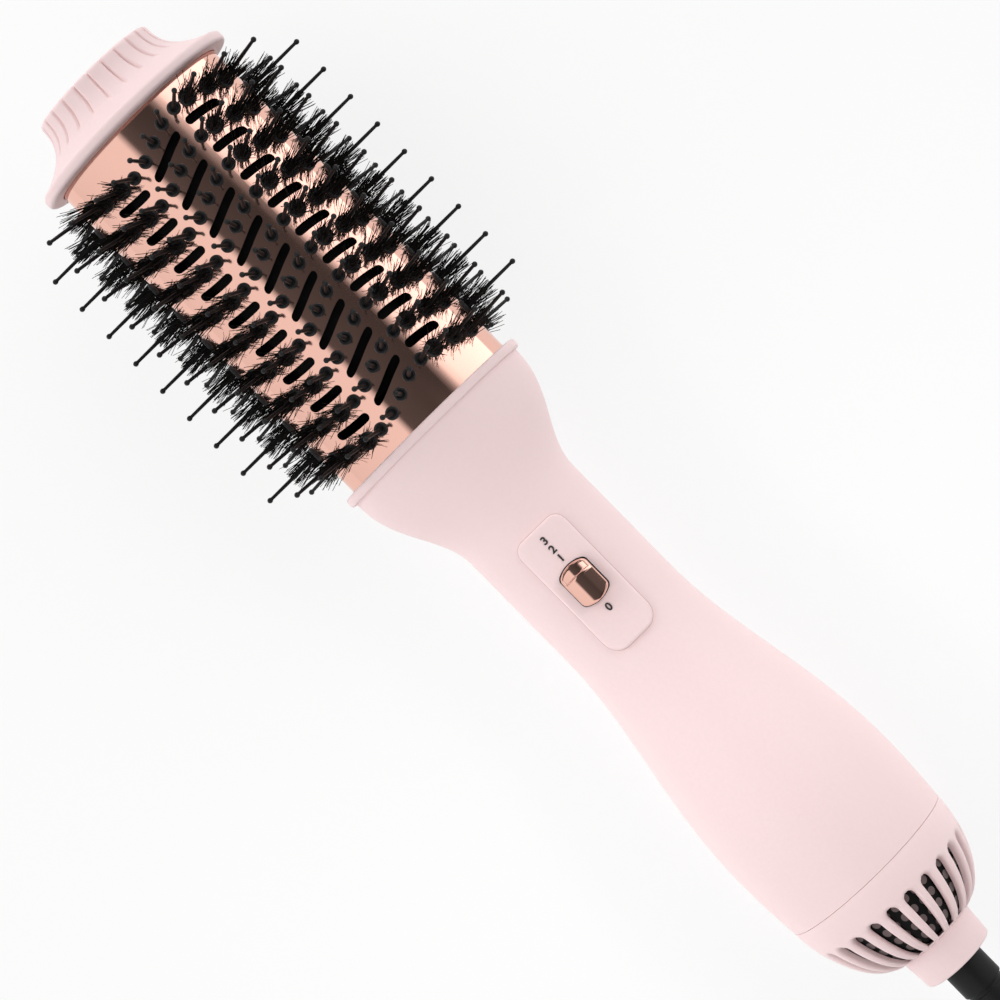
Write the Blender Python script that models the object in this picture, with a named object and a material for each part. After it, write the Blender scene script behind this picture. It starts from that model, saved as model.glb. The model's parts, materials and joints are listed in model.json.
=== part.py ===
"""Hot air brush: an oval heated barrel with bristles, on a handle that holds the heater, motor and fan.

Sizes are millimetres, and the meshes are built in metres. The brush is modelled along its own axis:
x runs from the nose to the cord, y across, z towards the switch. An empty then lays that axis so that
the brush rests on the pins under its barrel and on the back of its handle, with the floor at z = 0.
"""
import math

import bmesh
import bpy
from mathutils import Matrix, Vector

MM = 0.001
FIT_GAP = 0.3
QUARTER_TURN = 90.0
HALF_TURN = 180.0

# Nose cap
NOSE_LENGTH = 19.2
NOSE_FRONT_HALF_WIDTH = 21.0
NOSE_FRONT_HALF_DEPTH = 12.6
NOSE_EDGE = 1.2
NOSE_OVERHANG = 5.0
NOSE_RIM = 3.6
NOSE_WALL = 2.2
NOSE_SOCKET = 4.6
NOSE_RETAINER_LENGTH = 7.0

# Barrel
BARREL_HALF_WIDTH = 30.0
BARREL_HALF_DEPTH = 16.5
BARREL_VISIBLE = 118.5
BARREL_WALL = 1.0
SLOT_WIDTH = 2.7
SLOT_MIDDLE_ANGLE = 13.6
SLOT_SIDE_ANGLES = (21.3, 45.7)
SLOTLESS_ANGLES = (60.0, 75.0)

# Air guide, a hollow core in the barrel that turns the air to the slots
GUIDE_HALF_WIDTH = 24.0
GUIDE_HALF_DEPTH = 9.5
GUIDE_WALL = 1.2
GUIDE_FLANGE = 3.6
GUIDE_TAPER = 14.0
GUIDE_TIP_HALF_WIDTH = 12.0
GUIDE_TIP_HALF_DEPTH = 4.0
GUIDE_SETBACK = 14.6

# Bristles: rows are angles round the oval from its crest, and columns run along the barrel
COLUMN_COUNT = 10
COLUMN_PITCH = 11.0
COLUMN_WIDTH = 4.0
COLUMN_START = 28.7
COLUMN_SWAY = 3.1
SWAY_CREST_ANGLE = 21.0
SWAY_END_ANGLE = 62.0
COMB_THICKNESS = 0.8
PIN_LENGTH = 19.0
PIN_RADIUS = 0.8
TUFT_LENGTH = 10.0
TUFT_RADIUS = 0.6
TUFT_LEAN = 1.6
FLAT_CUT = 0.5
ROW_ANGLES = (5.2, 15.8, 26.5, 36.0, 41.5, 52.0, 57.0, 67.0)
TUFT_BAND_ANGLES = (ROW_ANGLES[3:5], ROW_ANGLES[5:7])
SIDE_STRIP_ANGLES = (79.0, 84.5, 95.5, 101.0)
SIDE_END_LAND = 3.0

# Handle
HANDLE_WALL = 2.2
FLANGE_OVERHANG = 3.4
FLANGE_THICKNESS = 2.9
FLARE_HALF_WIDTH = 31.8
FLARE_HALF_DEPTH = 19.4
FLARE_LENGTH = 35.2
FLARE_SKEW = 1.15
NECK_HALF_WIDTH = 20.3
NECK_HALF_DEPTH = 17.9
NECK_LENGTH = 41.0
RISE_LENGTH = 77.0
RISE_SKEW = 0.92
BELLY_HALF_WIDTH = 29.4
BELLY_HALF_DEPTH = 25.9
TAIL_LENGTH = 21.9
TAIL_DROP = 1.0

# Rear grille, filter and collar
GRILLE_LENGTH = 27.4
GRILLE_WALL = 2.0
GRILLE_SPIGOT = 6.0
GRILLE_SLOTS = 24
GRILLE_SLOT_START = 9.6
GRILLE_SLOT_END = 26.2
DOME_SKEW = 1.85
FILTER_GAP = 0.5
FILTER_WALL = 0.8
FILTER_LENGTH = 21.0
COLLAR_RADIUS = 12.4
COLLAR_END_RADIUS = 11.6
COLLAR_LENGTH = 10.0
COLLAR_WALL = 2.6
COLLAR_BORE = 7.0

# Strain relief, which turns in the collar
RELIEF_RADIUS = 6.6
RELIEF_END_RADIUS = 4.6
RELIEF_LENGTH = 42.0
RELIEF_FLANGE_RADIUS = 9.2
RELIEF_FLANGE_LENGTH = 3.6
RETAINER_LENGTH = 1.6

# Switch
PLATE_START = 43.5
PLATE_LENGTH = 41.7
PLATE_HALF_WIDTH = 8.5
PLATE_CORNER = 4.0
PLATE_REAR_CORNER = 6.0
PLATE_CORNER_SHARE = 0.3
PLATE_THICKNESS = 1.0
KNOB_START = 57.9
KNOB_LENGTH = 11.4
KNOB_HALF_WIDTH = 4.8
KNOB_HEIGHT = 4.4
KNOB_SLANT = 3.7
KNOB_EDGE = 0.4
KNOB_STEPS = 10
KNOB_TRAVEL = 7.0
STEM_LENGTH = 3.0
STEM_HALF_WIDTH = 2.0
STEM_CLEARANCE = 0.6
BOARD_LEVEL = 6.0
BOARD_THICKNESS = 1.6
BOARD_LENGTH = 34.0
SWITCH_LENGTH = 24.0
SWITCH_HALF_WIDTH = 4.5

# Heater
HEATER_START = 10.5
HEATER_LENGTH = 36.0
HEATER_RADIUS = 13.5
HEATER_TUBE_WALL = 0.5
HEATER_RING_LENGTH = 3.0
MICA_THICKNESS = 1.0
MICA_END = 3.0
WINDING_WIRE = 1.2
WINDING_TURNS = 6
WINDING_STEPS = 10
THERMOSTAT_SIZE = (8.0, 6.0, 4.0)
FUSE_RADIUS = 1.5
FUSE_LENGTH = 9.0

# Motor and fan
MOTOR_START = 122.0
MOTOR_RADIUS = 14.0
MOTOR_LENGTH = 30.0
MOTOR_WALL = 1.2
MAGNET_THICKNESS = 1.4
MAGNET_ARC = 120.0
MAGNET_STEPS = 8
ROTOR_RADIUS = 10.4
SHAFT_RADIUS = 1.5
SHAFT_REACH = 20.0
FAN_OFFSET = 6.0
FAN_LENGTH = 10.0
FAN_RADIUS = 19.5
FAN_HUB_RADIUS = 7.0
FAN_BLADES = 7
FAN_TWIST = 26.0
FAN_LAYERS = 2
FAN_BLADE_SHARES = (0.0, 0.12)
FAN_HUB_SHARES = (0.16, 0.56, 0.96)
MOUNT_OFFSET = 9.0
MOUNT_LENGTH = 8.0
MOUNT_RING = 1.6
MOUNT_ARMS = 4

# Handle screws
SCREW_STATION = 98.0
SCREW_SPACING = 20.0
SCREW_HEAD_RADIUS = 2.6
SCREW_HEAD_HEIGHT = 1.8
SCREW_SHANK_RADIUS = 1.3
SCREW_SHANK_LENGTH = 9.0
SCREW_SEAT = 7.0
BOSS_RADIUS = 3.4

# Leads from the circuit board to the motor
LEAD_DIAMETER = 1.8
LEAD_SPACING = 8.0
LEAD_SAG = 2.5
LEAD_STEPS = 6

# Mains cord, its coil and plug
CORD_DIAMETER = 7.0
COIL_TURNS = 6.5
COIL_STEPS = 24
COIL_PITCH = 7.7
COIL_INNER_RADIUS = 28.3
COIL_OFFSET = 125.0
CORD_ROUTE = ((14.0, 0.0, -0.9), (30.0, -2.0, -2.6), (46.0, -9.0, -5.2), (62.0, -23.0, -8.6),
              (78.0, -39.0, -11.8), (95.0, -50.0, -13.8))
CORD_STEPS = 2
TIE_WIDTH = 9.0
TIE_THICKNESS = 1.2
TIE_LEVEL = 0.2
TIE_CLEARANCE = 0.7
PLUG_LENGTH = 36.0
PLUG_HALF_WIDTH = 13.0
PLUG_HALF_HEIGHT = 7.4
PLUG_NECK_RADIUS = 4.2
PLUG_PROFILE = ((0.2, 0.4, 0.7), (0.39, 0.8, 0.9), (0.54, 1.0, 1.0), (0.97, 1.0, 1.0), (1.0, 0.92, 0.86))
PLUG_TAIL = 46.0
PLUG_TAIL_STEPS = 6
PLUG_PIN_RADIUS = 2.0
PLUG_PIN_LENGTH = 19.0
PLUG_PIN_SPACING = 19.0
PLUG_PIN_ROUNDING = 1.0

# Facets
OVAL_SIDES = 28
SHELL_SIDES = 10
ROUND_SIDES = 16
SMALL_SIDES = 10
FLARE_STEPS = 6
RISE_STEPS = 6
TAIL_STEPS = 2
NOSE_STEPS = 6
GRILLE_SLOT_STEPS = 3
FILTER_STEPS = 5
SMOOTH_ANGLE = math.radians(35)

# Stations along the axis
BARREL_START = NOSE_LENGTH - NOSE_SOCKET + FIT_GAP
HANDLE_START = NOSE_LENGTH + BARREL_VISIBLE
BARREL_END = HANDLE_START + FLANGE_THICKNESS
FLARE_START = HANDLE_START + FLANGE_THICKNESS
NECK_START = FLARE_START + FLARE_LENGTH
RISE_START = NECK_START + NECK_LENGTH
BELLY_STATION = RISE_START + RISE_LENGTH
SEAM_STATION = BELLY_STATION + TAIL_LENGTH
GRILLE_END = SEAM_STATION + GRILLE_LENGTH
COLLAR_START = GRILLE_END + FIT_GAP
COLLAR_END = COLLAR_START + COLLAR_LENGTH
LAST_COLUMN = COLUMN_START + (COLUMN_COUNT - 1) * COLUMN_PITCH
CAVITY_START = HANDLE_START + FLANGE_THICKNESS + HANDLE_WALL
MOTOR_FRONT = HANDLE_START + MOTOR_START
MOTOR_REAR = MOTOR_FRONT + MOTOR_LENGTH
FAN_FRONT = MOTOR_REAR + FAN_OFFSET

COLOURS = {
    "pink": ((0.94, 0.80, 0.79, 1.0), 0.45, 0.0),
    "rose_gold": ((0.83, 0.56, 0.47, 1.0), 0.12, 1.0),
    "black": ((0.02, 0.02, 0.02, 1.0), 0.5, 0.0),
    "steel": ((0.6, 0.6, 0.62, 1.0), 0.3, 1.0),
    "mica": ((0.75, 0.68, 0.52, 1.0), 0.6, 0.0),
    "board": ((0.05, 0.25, 0.12, 1.0), 0.5, 0.0),
    "dark_magnet": ((0.08, 0.08, 0.09, 1.0), 0.6, 0.0),
    "nylon": ((0.82, 0.82, 0.8, 1.0), 0.5, 0.0),
}


def clear_scene():
    for item in list(bpy.data.objects):
        bpy.data.objects.remove(item)


def make_material(node_name, finish):
    colour, roughness, metallic = COLOURS[finish]
    material = bpy.data.materials.new(node_name + "_finish")
    material.use_nodes = True
    shader = material.node_tree.nodes["Principled BSDF"]
    shader.inputs["Base Color"].default_value = colour
    shader.inputs["Roughness"].default_value = roughness
    shader.inputs["Metallic"].default_value = metallic
    return material


def make_object(name, points, faces, finish, parent=None, origin=(0.0, 0.0, 0.0)):
    """A closed mesh object from points in millimetres, with its origin where it is asked for."""
    mesh = bpy.data.meshes.new(name)
    shift = Vector(origin)
    mesh.from_pydata([(Vector(point) - shift) * MM for point in points], [], faces)
    work = bmesh.new()
    work.from_mesh(mesh)
    bmesh.ops.recalc_face_normals(work, faces=work.faces)
    work.to_mesh(mesh)
    work.free()
    mesh.shade_smooth()
    mesh.set_sharp_from_angle(angle=SMOOTH_ANGLE)
    item = bpy.data.objects.new(name, mesh)
    item.location = shift * MM
    item.parent = parent
    bpy.context.scene.collection.objects.link(item)
    if finish:
        mesh.materials.append(make_material(name, finish))
    return item


def make_cutter(name, points, faces, parent):
    """A closed helper solid that a Boolean reads and that isn't a piece itself."""
    cutter = make_object(name, points, faces, None, parent)
    cutter.hide_render = True
    cutter.display_type = "WIRE"
    return cutter


def add_boolean(item, helper, operation):
    modifier = item.modifiers.new(operation.title() + "_" + helper.name, "BOOLEAN")
    modifier.operation = operation
    modifier.object = helper
    modifier.solver = "EXACT"


def oval_ring(station, half_width, half_depth, count=OVAL_SIDES):
    turns = [2 * math.pi * step / count for step in range(count)]
    return [(station, half_width * math.cos(turn), half_depth * math.sin(turn)) for turn in turns]


def skin_faces(ring_count, side_count, loop):
    """Quads between neighbouring rings, closed on themselves or by a cap at each end."""
    faces = []
    last = ring_count if loop else ring_count - 1
    for ring in range(last):
        here = ring * side_count
        there = ((ring + 1) % ring_count) * side_count
        for side in range(side_count):
            after = (side + 1) % side_count
            faces.append((here + side, here + after, there + after, there + side))
    if not loop:
        faces.append(tuple(range(side_count)))
        faces.append(tuple(range((ring_count - 1) * side_count, ring_count * side_count)))
    return faces


def skin(rings, loop=False):
    points = [point for ring in rings for point in ring]
    return points, skin_faces(len(rings), len(rings[0]), loop)


def turned(profile, loop=False, count=ROUND_SIDES):
    """A solid turned about the axis from (station, radius) pairs."""
    return skin([oval_ring(station, radius, radius, count) for station, radius in profile], loop)


def box(low, high):
    corners = [(x, y, z) for x in (low[0], high[0]) for y in (low[1], high[1]) for z in (low[2], high[2])]
    faces = [(0, 1, 3, 2), (4, 6, 7, 5), (0, 4, 5, 1), (2, 3, 7, 6), (0, 2, 6, 4), (1, 5, 7, 3)]
    return corners, faces


def upright(centre, profile, count=SMALL_SIDES):
    """A solid turned about a line parallel to z from (height, radius) pairs."""
    turns = [2 * math.pi * step / count for step in range(count)]
    rings = []
    for height, radius in profile:
        ring = [(centre[0] + radius * math.cos(turn), centre[1] + radius * math.sin(turn), height)
                for turn in turns]
        rings.append(ring)
    return skin(rings)


def grid_solid(front, back, keep, wrap=False, strand=None):
    """A plate between two grids of points that leaves out the cells that keep() turns down.

    strand(row, column) may give a bristle that grows out of that cell's front face.
    """
    rows = len(front)
    columns = len(front[0])
    cell_rows = rows if wrap else rows - 1
    points = []
    index = {}
    faces = []

    def vertex(side, row, column):
        key = (side, row % rows, column)
        if key not in index:
            index[key] = len(points)
            points.append((front if side == 0 else back)[row % rows][column])
        return index[key]

    def kept(row, column):
        if wrap:
            row %= rows
        inside = 0 <= row < cell_rows and 0 <= column < columns - 1
        return inside and keep(row, column)

    for row in range(cell_rows):
        for column in range(columns - 1):
            if not kept(row, column):
                continue
            corners = ((row, column), (row, column + 1), (row + 1, column + 1), (row + 1, column))
            near = [vertex(0, *corner) for corner in corners]
            far = [vertex(1, *corner) for corner in corners]
            bristle = strand(row, column) if strand else None
            if bristle:
                add_strand(points, faces, near, bristle)
            else:
                faces.append(tuple(near))
            faces.append(tuple(reversed(far)))
            neighbours = ((row - 1, column), (row, column + 1), (row + 1, column), (row, column - 1))
            for side, neighbour in enumerate(neighbours):
                if not kept(*neighbour):
                    after = (side + 1) % 4
                    faces.append((near[after], near[side], far[side], far[after]))
    return points, faces


def add_strand(points, faces, corners, bristle):
    """A three-sided bristle whose foot is let into a four-cornered face."""
    foot = len(points)
    points.extend(bristle["foot"])
    first, second, third = foot, foot + 1, foot + 2
    a, b, c, d = corners
    faces.extend([(a, b, first), (b, second, first), (b, c, second), (c, d, second),
                  (d, third, second), (d, a, third), (a, first, third)])
    tip = len(points)
    points.extend(bristle["tip"])
    if len(bristle["tip"]) == 1:
        faces.extend([(first, second, tip), (second, third, tip), (third, first, tip)])
        return
    for side in range(3):
        after = (side + 1) % 3
        faces.append((foot + side, foot + after, tip + after, tip + side))
    faces.append((tip, tip + 1, tip + 2))


def ease(share):
    return 0.5 - 0.5 * math.cos(math.pi * share)


def handle_oval(station):
    """Half width and half depth of the handle's outside, from its flare to its seam."""
    if station <= NECK_START:
        share = max(0.0, (station - FLARE_START) / FLARE_LENGTH)
        blend = ease(share ** FLARE_SKEW)
        return (FLARE_HALF_WIDTH + (NECK_HALF_WIDTH - FLARE_HALF_WIDTH) * blend,
                FLARE_HALF_DEPTH + (NECK_HALF_DEPTH - FLARE_HALF_DEPTH) * blend)
    if station <= BELLY_STATION:
        share = max(0.0, (station - RISE_START) / RISE_LENGTH)
        blend = ease(share ** RISE_SKEW)
        return (NECK_HALF_WIDTH + (BELLY_HALF_WIDTH - NECK_HALF_WIDTH) * blend,
                NECK_HALF_DEPTH + (BELLY_HALF_DEPTH - NECK_HALF_DEPTH) * blend)
    drop = TAIL_DROP * ((station - BELLY_STATION) / TAIL_LENGTH) ** 2
    return BELLY_HALF_WIDTH - drop, BELLY_HALF_DEPTH - drop


def cavity_oval(station, inset=0.0):
    half_width, half_depth = handle_oval(station)
    return half_width - HANDLE_WALL - inset, half_depth - HANDLE_WALL - inset


def spread(start, end, count):
    return [start + (end - start) * step / count for step in range(count + 1)]


def handle_stations():
    flare = spread(FLARE_START, NECK_START, FLARE_STEPS)
    rise = spread(RISE_START, BELLY_STATION, RISE_STEPS)
    tail = spread(BELLY_STATION, SEAM_STATION, TAIL_STEPS)
    return flare + rise + tail[1:]


def seam_oval():
    return handle_oval(SEAM_STATION)


def dome_oval(station):
    """Half width and half depth of the rear grille's outside, round where it meets the collar."""
    share = min(1.0, max(0.0, (station - SEAM_STATION) / GRILLE_LENGTH))
    rise = math.sqrt(max(0.0, 1.0 - share ** DOME_SKEW))
    half_width, half_depth = seam_oval()
    end = COLLAR_RADIUS
    return end + (half_width - end) * rise, end + (half_depth - end) * rise


def barrel_point(station, angle, offset):
    """A point on the barrel's oval, at an angle in degrees from its crest, offset from its surface."""
    turn = math.radians(angle)
    half_width = BARREL_HALF_WIDTH + offset
    half_depth = BARREL_HALF_DEPTH + offset
    return Vector((station, half_width * math.sin(turn), half_depth * math.cos(turn)))


def barrel_normal(angle):
    turn = math.radians(angle)
    return Vector((0.0, math.sin(turn) / BARREL_HALF_WIDTH, math.cos(turn) / BARREL_HALF_DEPTH)).normalized()


def from_crest(angle):
    """An angle in degrees, counted from the nearer of the oval's two crests."""
    return (angle + QUARTER_TURN) % HALF_TURN - QUARTER_TURN


def column_sway(angle):
    """How far a column of bristles and slots leans along the barrel at an angle from its crest."""
    folded = from_crest(angle)
    size = abs(folded)
    if size >= SWAY_END_ANGLE:
        return 0.0
    if size <= SWAY_CREST_ANGLE:
        share = math.sin(0.5 * math.pi * size / SWAY_CREST_ANGLE)
    else:
        share = math.cos(0.5 * math.pi * (size - SWAY_CREST_ANGLE) / (SWAY_END_ANGLE - SWAY_CREST_ANGLE))
    return math.copysign(COLUMN_SWAY * share, -folded)


def pin_reach():
    return BARREL_HALF_DEPTH + FIT_GAP + COMB_THICKNESS + PIN_LENGTH


def floor_contact():
    """Where the floor meets the last pins under the barrel, and the floor's slope from there to the belly."""
    contact = LAST_COLUMN + PIN_RADIUS
    level = pin_reach() - FLAT_CUT
    stations = [station for station in handle_stations() if station > NECK_START]
    slopes = [(level - handle_oval(station)[1]) / (station - contact) for station in stations]
    return contact, level, min(slopes)


def floor_level(station):
    contact, level, slope = floor_contact()
    return -level + (station - contact) * slope


def trim_to_floor(foot, tip):
    """The tip of a bristle edge, cut back to the floor where it would reach below it."""
    below = floor_level(tip.x) - tip.z
    if below <= 0.0:
        return tip
    above = foot.z - floor_level(foot.x)
    return foot.lerp(tip, above / (above + below))


def make_frame():
    """The empty that carries the brush's axis and lays it on the floor."""
    contact, level, slope = floor_contact()
    tilt = math.atan(slope)
    front = -(NOSE_FRONT_HALF_DEPTH - NOSE_EDGE) * math.sin(tilt)
    back = COLLAR_END * math.cos(tilt) + COLLAR_END_RADIUS * math.sin(tilt)
    height = contact * math.sin(tilt) + level * math.cos(tilt)
    frame = bpy.data.objects.new("brush_axis", None)
    place = Matrix.Translation(Vector((-(front + back) / 2, 0.0, height)) * MM)
    frame.matrix_world = place @ Matrix.Rotation(tilt, 4, "Y")
    bpy.context.scene.collection.objects.link(frame)
    bpy.context.view_layer.update()
    return frame


def make_nose(frame):
    flange_width = BARREL_HALF_WIDTH + NOSE_OVERHANG
    flange_depth = BARREL_HALF_DEPTH + NOSE_OVERHANG
    rim_start = NOSE_LENGTH - NOSE_RIM

    def trumpet(station, inset=0.0):
        share = (station / rim_start) ** 3
        return oval_ring(station,
                         NOSE_FRONT_HALF_WIDTH + (flange_width - NOSE_FRONT_HALF_WIDTH) * share - inset,
                         NOSE_FRONT_HALF_DEPTH + (flange_depth - NOSE_FRONT_HALF_DEPTH) * share - inset)

    socket_start = NOSE_LENGTH - NOSE_SOCKET
    socket = (BARREL_HALF_WIDTH + FIT_GAP, BARREL_HALF_DEPTH + FIT_GAP)
    outside = [oval_ring(0.0, NOSE_FRONT_HALF_WIDTH - NOSE_EDGE, NOSE_FRONT_HALF_DEPTH - NOSE_EDGE)]
    outside += [trumpet(station) for station in spread(NOSE_EDGE, rim_start, NOSE_STEPS)]
    outside += [oval_ring(NOSE_LENGTH - NOSE_EDGE, flange_width, flange_depth),
                oval_ring(NOSE_LENGTH, flange_width - NOSE_EDGE, flange_depth - NOSE_EDGE)]
    land = NOSE_WALL + BARREL_WALL
    inside = [oval_ring(NOSE_LENGTH, *socket), oval_ring(socket_start, *socket),
              oval_ring(socket_start, BARREL_HALF_WIDTH - land, BARREL_HALF_DEPTH - land),
              trumpet(NOSE_WALL, NOSE_WALL)]
    make_object("nose_cap", *skin(outside + inside), "pink", frame)

    plug_width = BARREL_HALF_WIDTH - BARREL_WALL - FIT_GAP
    plug_depth = BARREL_HALF_DEPTH - BARREL_WALL - FIT_GAP
    start = BARREL_START
    end = start + NOSE_RETAINER_LENGTH
    rings = [oval_ring(start, plug_width, plug_depth), oval_ring(end, plug_width, plug_depth),
             oval_ring(end, plug_width - NOSE_WALL, plug_depth - NOSE_WALL),
             oval_ring(start + NOSE_WALL, plug_width - NOSE_WALL, plug_depth - NOSE_WALL)]
    make_object("nose_retainer", *skin(rings), "black", frame)
    make_air_guide(frame, start + NOSE_WALL + FIT_GAP, plug_width - NOSE_WALL - FIT_GAP,
                   plug_depth - NOSE_WALL - FIT_GAP)


def make_air_guide(frame, start, flange_width, flange_depth):
    """A hollow core that stands in the nose retainer and narrows towards the handle."""
    flange_end = start + GUIDE_FLANGE
    end = HANDLE_START - GUIDE_SETBACK
    taper = end - GUIDE_TAPER

    def section(station, half_width, half_depth, inset=0.0):
        return oval_ring(station, half_width - inset, half_depth - inset, ROUND_SIDES)

    body = (GUIDE_HALF_WIDTH, GUIDE_HALF_DEPTH)
    tip = (GUIDE_TIP_HALF_WIDTH, GUIDE_TIP_HALF_DEPTH)
    rings = [section(end, *tip), section(taper, *body), section(flange_end, *body),
             section(flange_end, flange_width, flange_depth), section(start, flange_width, flange_depth),
             section(start, *body, GUIDE_WALL), section(taper, *body, GUIDE_WALL),
             section(end - GUIDE_WALL, *tip, GUIDE_WALL)]
    make_object("air_guide", *skin(rings), "black", frame)


def slot_stations():
    """The middle of each slot, halfway between two columns of bristles."""
    return [COLUMN_START + (slot + 0.5) * COLUMN_PITCH for slot in range(COLUMN_COUNT - 1)]


def barrel_angles():
    start, end = SLOT_SIDE_ANGLES
    quarter = [0.0, SLOT_MIDDLE_ANGLE, start, (start + end) / 2, end, *SLOTLESS_ANGLES]
    half = quarter + [QUARTER_TURN] + [HALF_TURN - angle for angle in reversed(quarter[1:])]
    return half + [angle + HALF_TURN for angle in half]


def is_slot_angle(low, high):
    middle = abs(from_crest((low + high) / 2))
    return middle < SLOT_MIDDLE_ANGLE or SLOT_SIDE_ANGLES[0] < middle < SLOT_SIDE_ANGLES[1]


def make_barrel(frame):
    angles = barrel_angles()
    edges = [station + side * SLOT_WIDTH / 2 for station in slot_stations() for side in (-1, 1)]

    def lines(angle, offset):
        swayed = [station + column_sway(angle) for station in edges]
        return [barrel_point(station, angle, offset) for station in [BARREL_START] + swayed + [BARREL_END]]

    def keep(row, column):
        high = angles[row + 1] if row + 1 < len(angles) else 2 * HALF_TURN
        return column % 2 == 0 or not is_slot_angle(angles[row], high)

    outside = [lines(angle, 0.0) for angle in angles]
    inside = [lines(angle, -BARREL_WALL) for angle in angles]
    make_object("barrel_sleeve", *grid_solid(outside, inside, keep, wrap=True), "rose_gold", frame)


def bristle(station, angle, is_pin, lean):
    """Foot and tip of one bristle that stands square to the barrel."""
    offset = FIT_GAP + COMB_THICKNESS
    foot_centre = barrel_point(station, angle, offset)
    normal = barrel_normal(angle)
    along = Vector((1.0, 0.0, 0.0))
    across = along.cross(normal) * -1.0
    radius = PIN_RADIUS if is_pin else TUFT_RADIUS
    turns = [2 * math.pi * (side / 3) - math.pi / 2 for side in range(3)]
    foot = [foot_centre + radius * (along * math.cos(turn) + across * math.sin(turn)) for turn in turns]
    if not is_pin:
        tip = [foot_centre + normal * TUFT_LENGTH + along * lean]
    else:
        tip = [trim_to_floor(point, point + normal * PIN_LENGTH) for point in foot]
    return {"foot": foot, "tip": tip}


def comb_row_edges():
    return [-edge for edge in reversed(ROW_ANGLES)] + list(ROW_ANGLES)


def make_comb(name, frame, crest):
    """Ten swaying columns of bristles joined by a rail on either side, round the crest at that angle."""
    edges = comb_row_edges()
    half = COLUMN_WIDTH / 2
    columns = [COLUMN_START + column * COLUMN_PITCH for column in range(COLUMN_COUNT)]
    stations = [station + side * half for station in columns for side in (-1, 1)]

    def lines(edge, offset):
        angle = crest + edge
        return [barrel_point(station + column_sway(angle), angle, offset) for station in stations]

    def keep(row, column):
        return column % 2 == 0 or row in (0, len(edges) - 2)

    def strand(row, column):
        if column % 2:
            return None
        low, high = edges[row], edges[row + 1]
        middle = (low + high) / 2
        is_pin = not any(band[0] < abs(middle) < band[1] for band in TUFT_BAND_ANGLES)
        angle = crest + middle
        lean = TUFT_LEAN * (1 if column % 4 else -1)
        return bristle(columns[column // 2] + column_sway(angle), angle, is_pin, lean)

    outside = [lines(edge, FIT_GAP + COMB_THICKNESS) for edge in edges]
    inside = [lines(edge, FIT_GAP) for edge in edges]
    make_object(name, *grid_solid(outside, inside, keep, strand=strand), "black", frame)


def make_side_strip(name, frame, turn):
    """A row of pins with tufts along one side of the barrel, half a pitch out of step with the columns."""
    half = COLUMN_WIDTH / 2
    stations = [slot_stations()[0] - half - SIDE_END_LAND]
    for station in slot_stations():
        stations += [station - half, station + half]
    stations.append(stations[-1] + SIDE_END_LAND)

    def lines(edge, offset):
        return [barrel_point(station, edge + turn, offset) for station in stations]

    def strand(row, column):
        if column % 2 == 0 or row == 2:
            return None
        middle = (SIDE_STRIP_ANGLES[row] + SIDE_STRIP_ANGLES[row + 1]) / 2
        station = (stations[column] + stations[column + 1]) / 2
        return bristle(station, middle + turn, row == 1, TUFT_LEAN)

    outside = [lines(edge, FIT_GAP + COMB_THICKNESS) for edge in SIDE_STRIP_ANGLES]
    inside = [lines(edge, FIT_GAP) for edge in SIDE_STRIP_ANGLES]
    solid = grid_solid(outside, inside, lambda row, column: True, strand=strand)
    make_object(name, *solid, "black", frame)


def half_ring(station, half_width, half_depth, side):
    """Half an oval, from one edge of the split to the other, held back from it by half the gap."""
    start = math.asin(FIT_GAP / 2 / half_depth)
    turns = [start + (math.pi - 2 * start) * step / SHELL_SIDES for step in range(SHELL_SIDES + 1)]
    return [(station, half_width * math.cos(turn), side * half_depth * math.sin(turn)) for turn in turns]


def half_shell(outside, inside, side):
    """A half tube from outer and inner (station, half width, half depth) lists, front to back."""
    points = []
    faces = []
    count = SHELL_SIDES + 1

    def add_strip(sections):
        first = len(points)
        for section in sections:
            points.extend(half_ring(*section, side))
        for ring in range(len(sections) - 1):
            here = first + ring * count
            for step in range(SHELL_SIDES):
                faces.append((here + step, here + step + 1, here + count + step + 1, here + count + step))
        starts = [first + ring * count for ring in range(len(sections))]
        return [list(range(start, start + count)) for start in starts]

    outer = add_strip(outside)
    inner = add_strip(inside)
    for end in (0, SHELL_SIDES):
        faces.append(tuple([ring[end] for ring in outer] + [ring[end] for ring in reversed(inner)]))
    for ring in (0, -1):
        faces.append(tuple(outer[ring] + list(reversed(inner[ring]))))
    return points, faces


def handle_sections():
    flange = (BARREL_HALF_WIDTH + FLANGE_OVERHANG, BARREL_HALF_DEPTH + FLANGE_OVERHANG)
    outside = [(HANDLE_START, *flange), (FLARE_START, *flange)]
    outside += [(station, *handle_oval(station)) for station in handle_stations()]
    mouth = (BARREL_HALF_WIDTH + FIT_GAP, BARREL_HALF_DEPTH + FIT_GAP)
    throat = (BARREL_HALF_WIDTH - BARREL_WALL, BARREL_HALF_DEPTH - BARREL_WALL)
    inside = [(HANDLE_START, *mouth), (BARREL_END + FIT_GAP, *mouth), (BARREL_END + FIT_GAP, *throat),
              (CAVITY_START, *throat)]
    inside += [(station, *cavity_oval(station)) for station in handle_stations() if station > CAVITY_START]
    return outside, inside


def stem_box(front, back, half_width, low, high):
    return box((front, -half_width, low), (back, half_width, high))


def knob_front():
    return HANDLE_START + KNOB_START


def stem_front():
    """Far enough back that the knob covers the stem's slot when it is switched off."""
    return knob_front() + KNOB_LENGTH - STEM_LENGTH - STEM_CLEARANCE


def screw_places():
    station = HANDLE_START + SCREW_STATION
    return [(station, side * SCREW_SPACING / 2) for side in (-1, 1)]


def shell_depth_at(station, across, inset):
    half_width, half_depth = handle_oval(station)
    share = across / (half_width - inset)
    return (half_depth - inset) * math.sqrt(1.0 - share * share)


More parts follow.
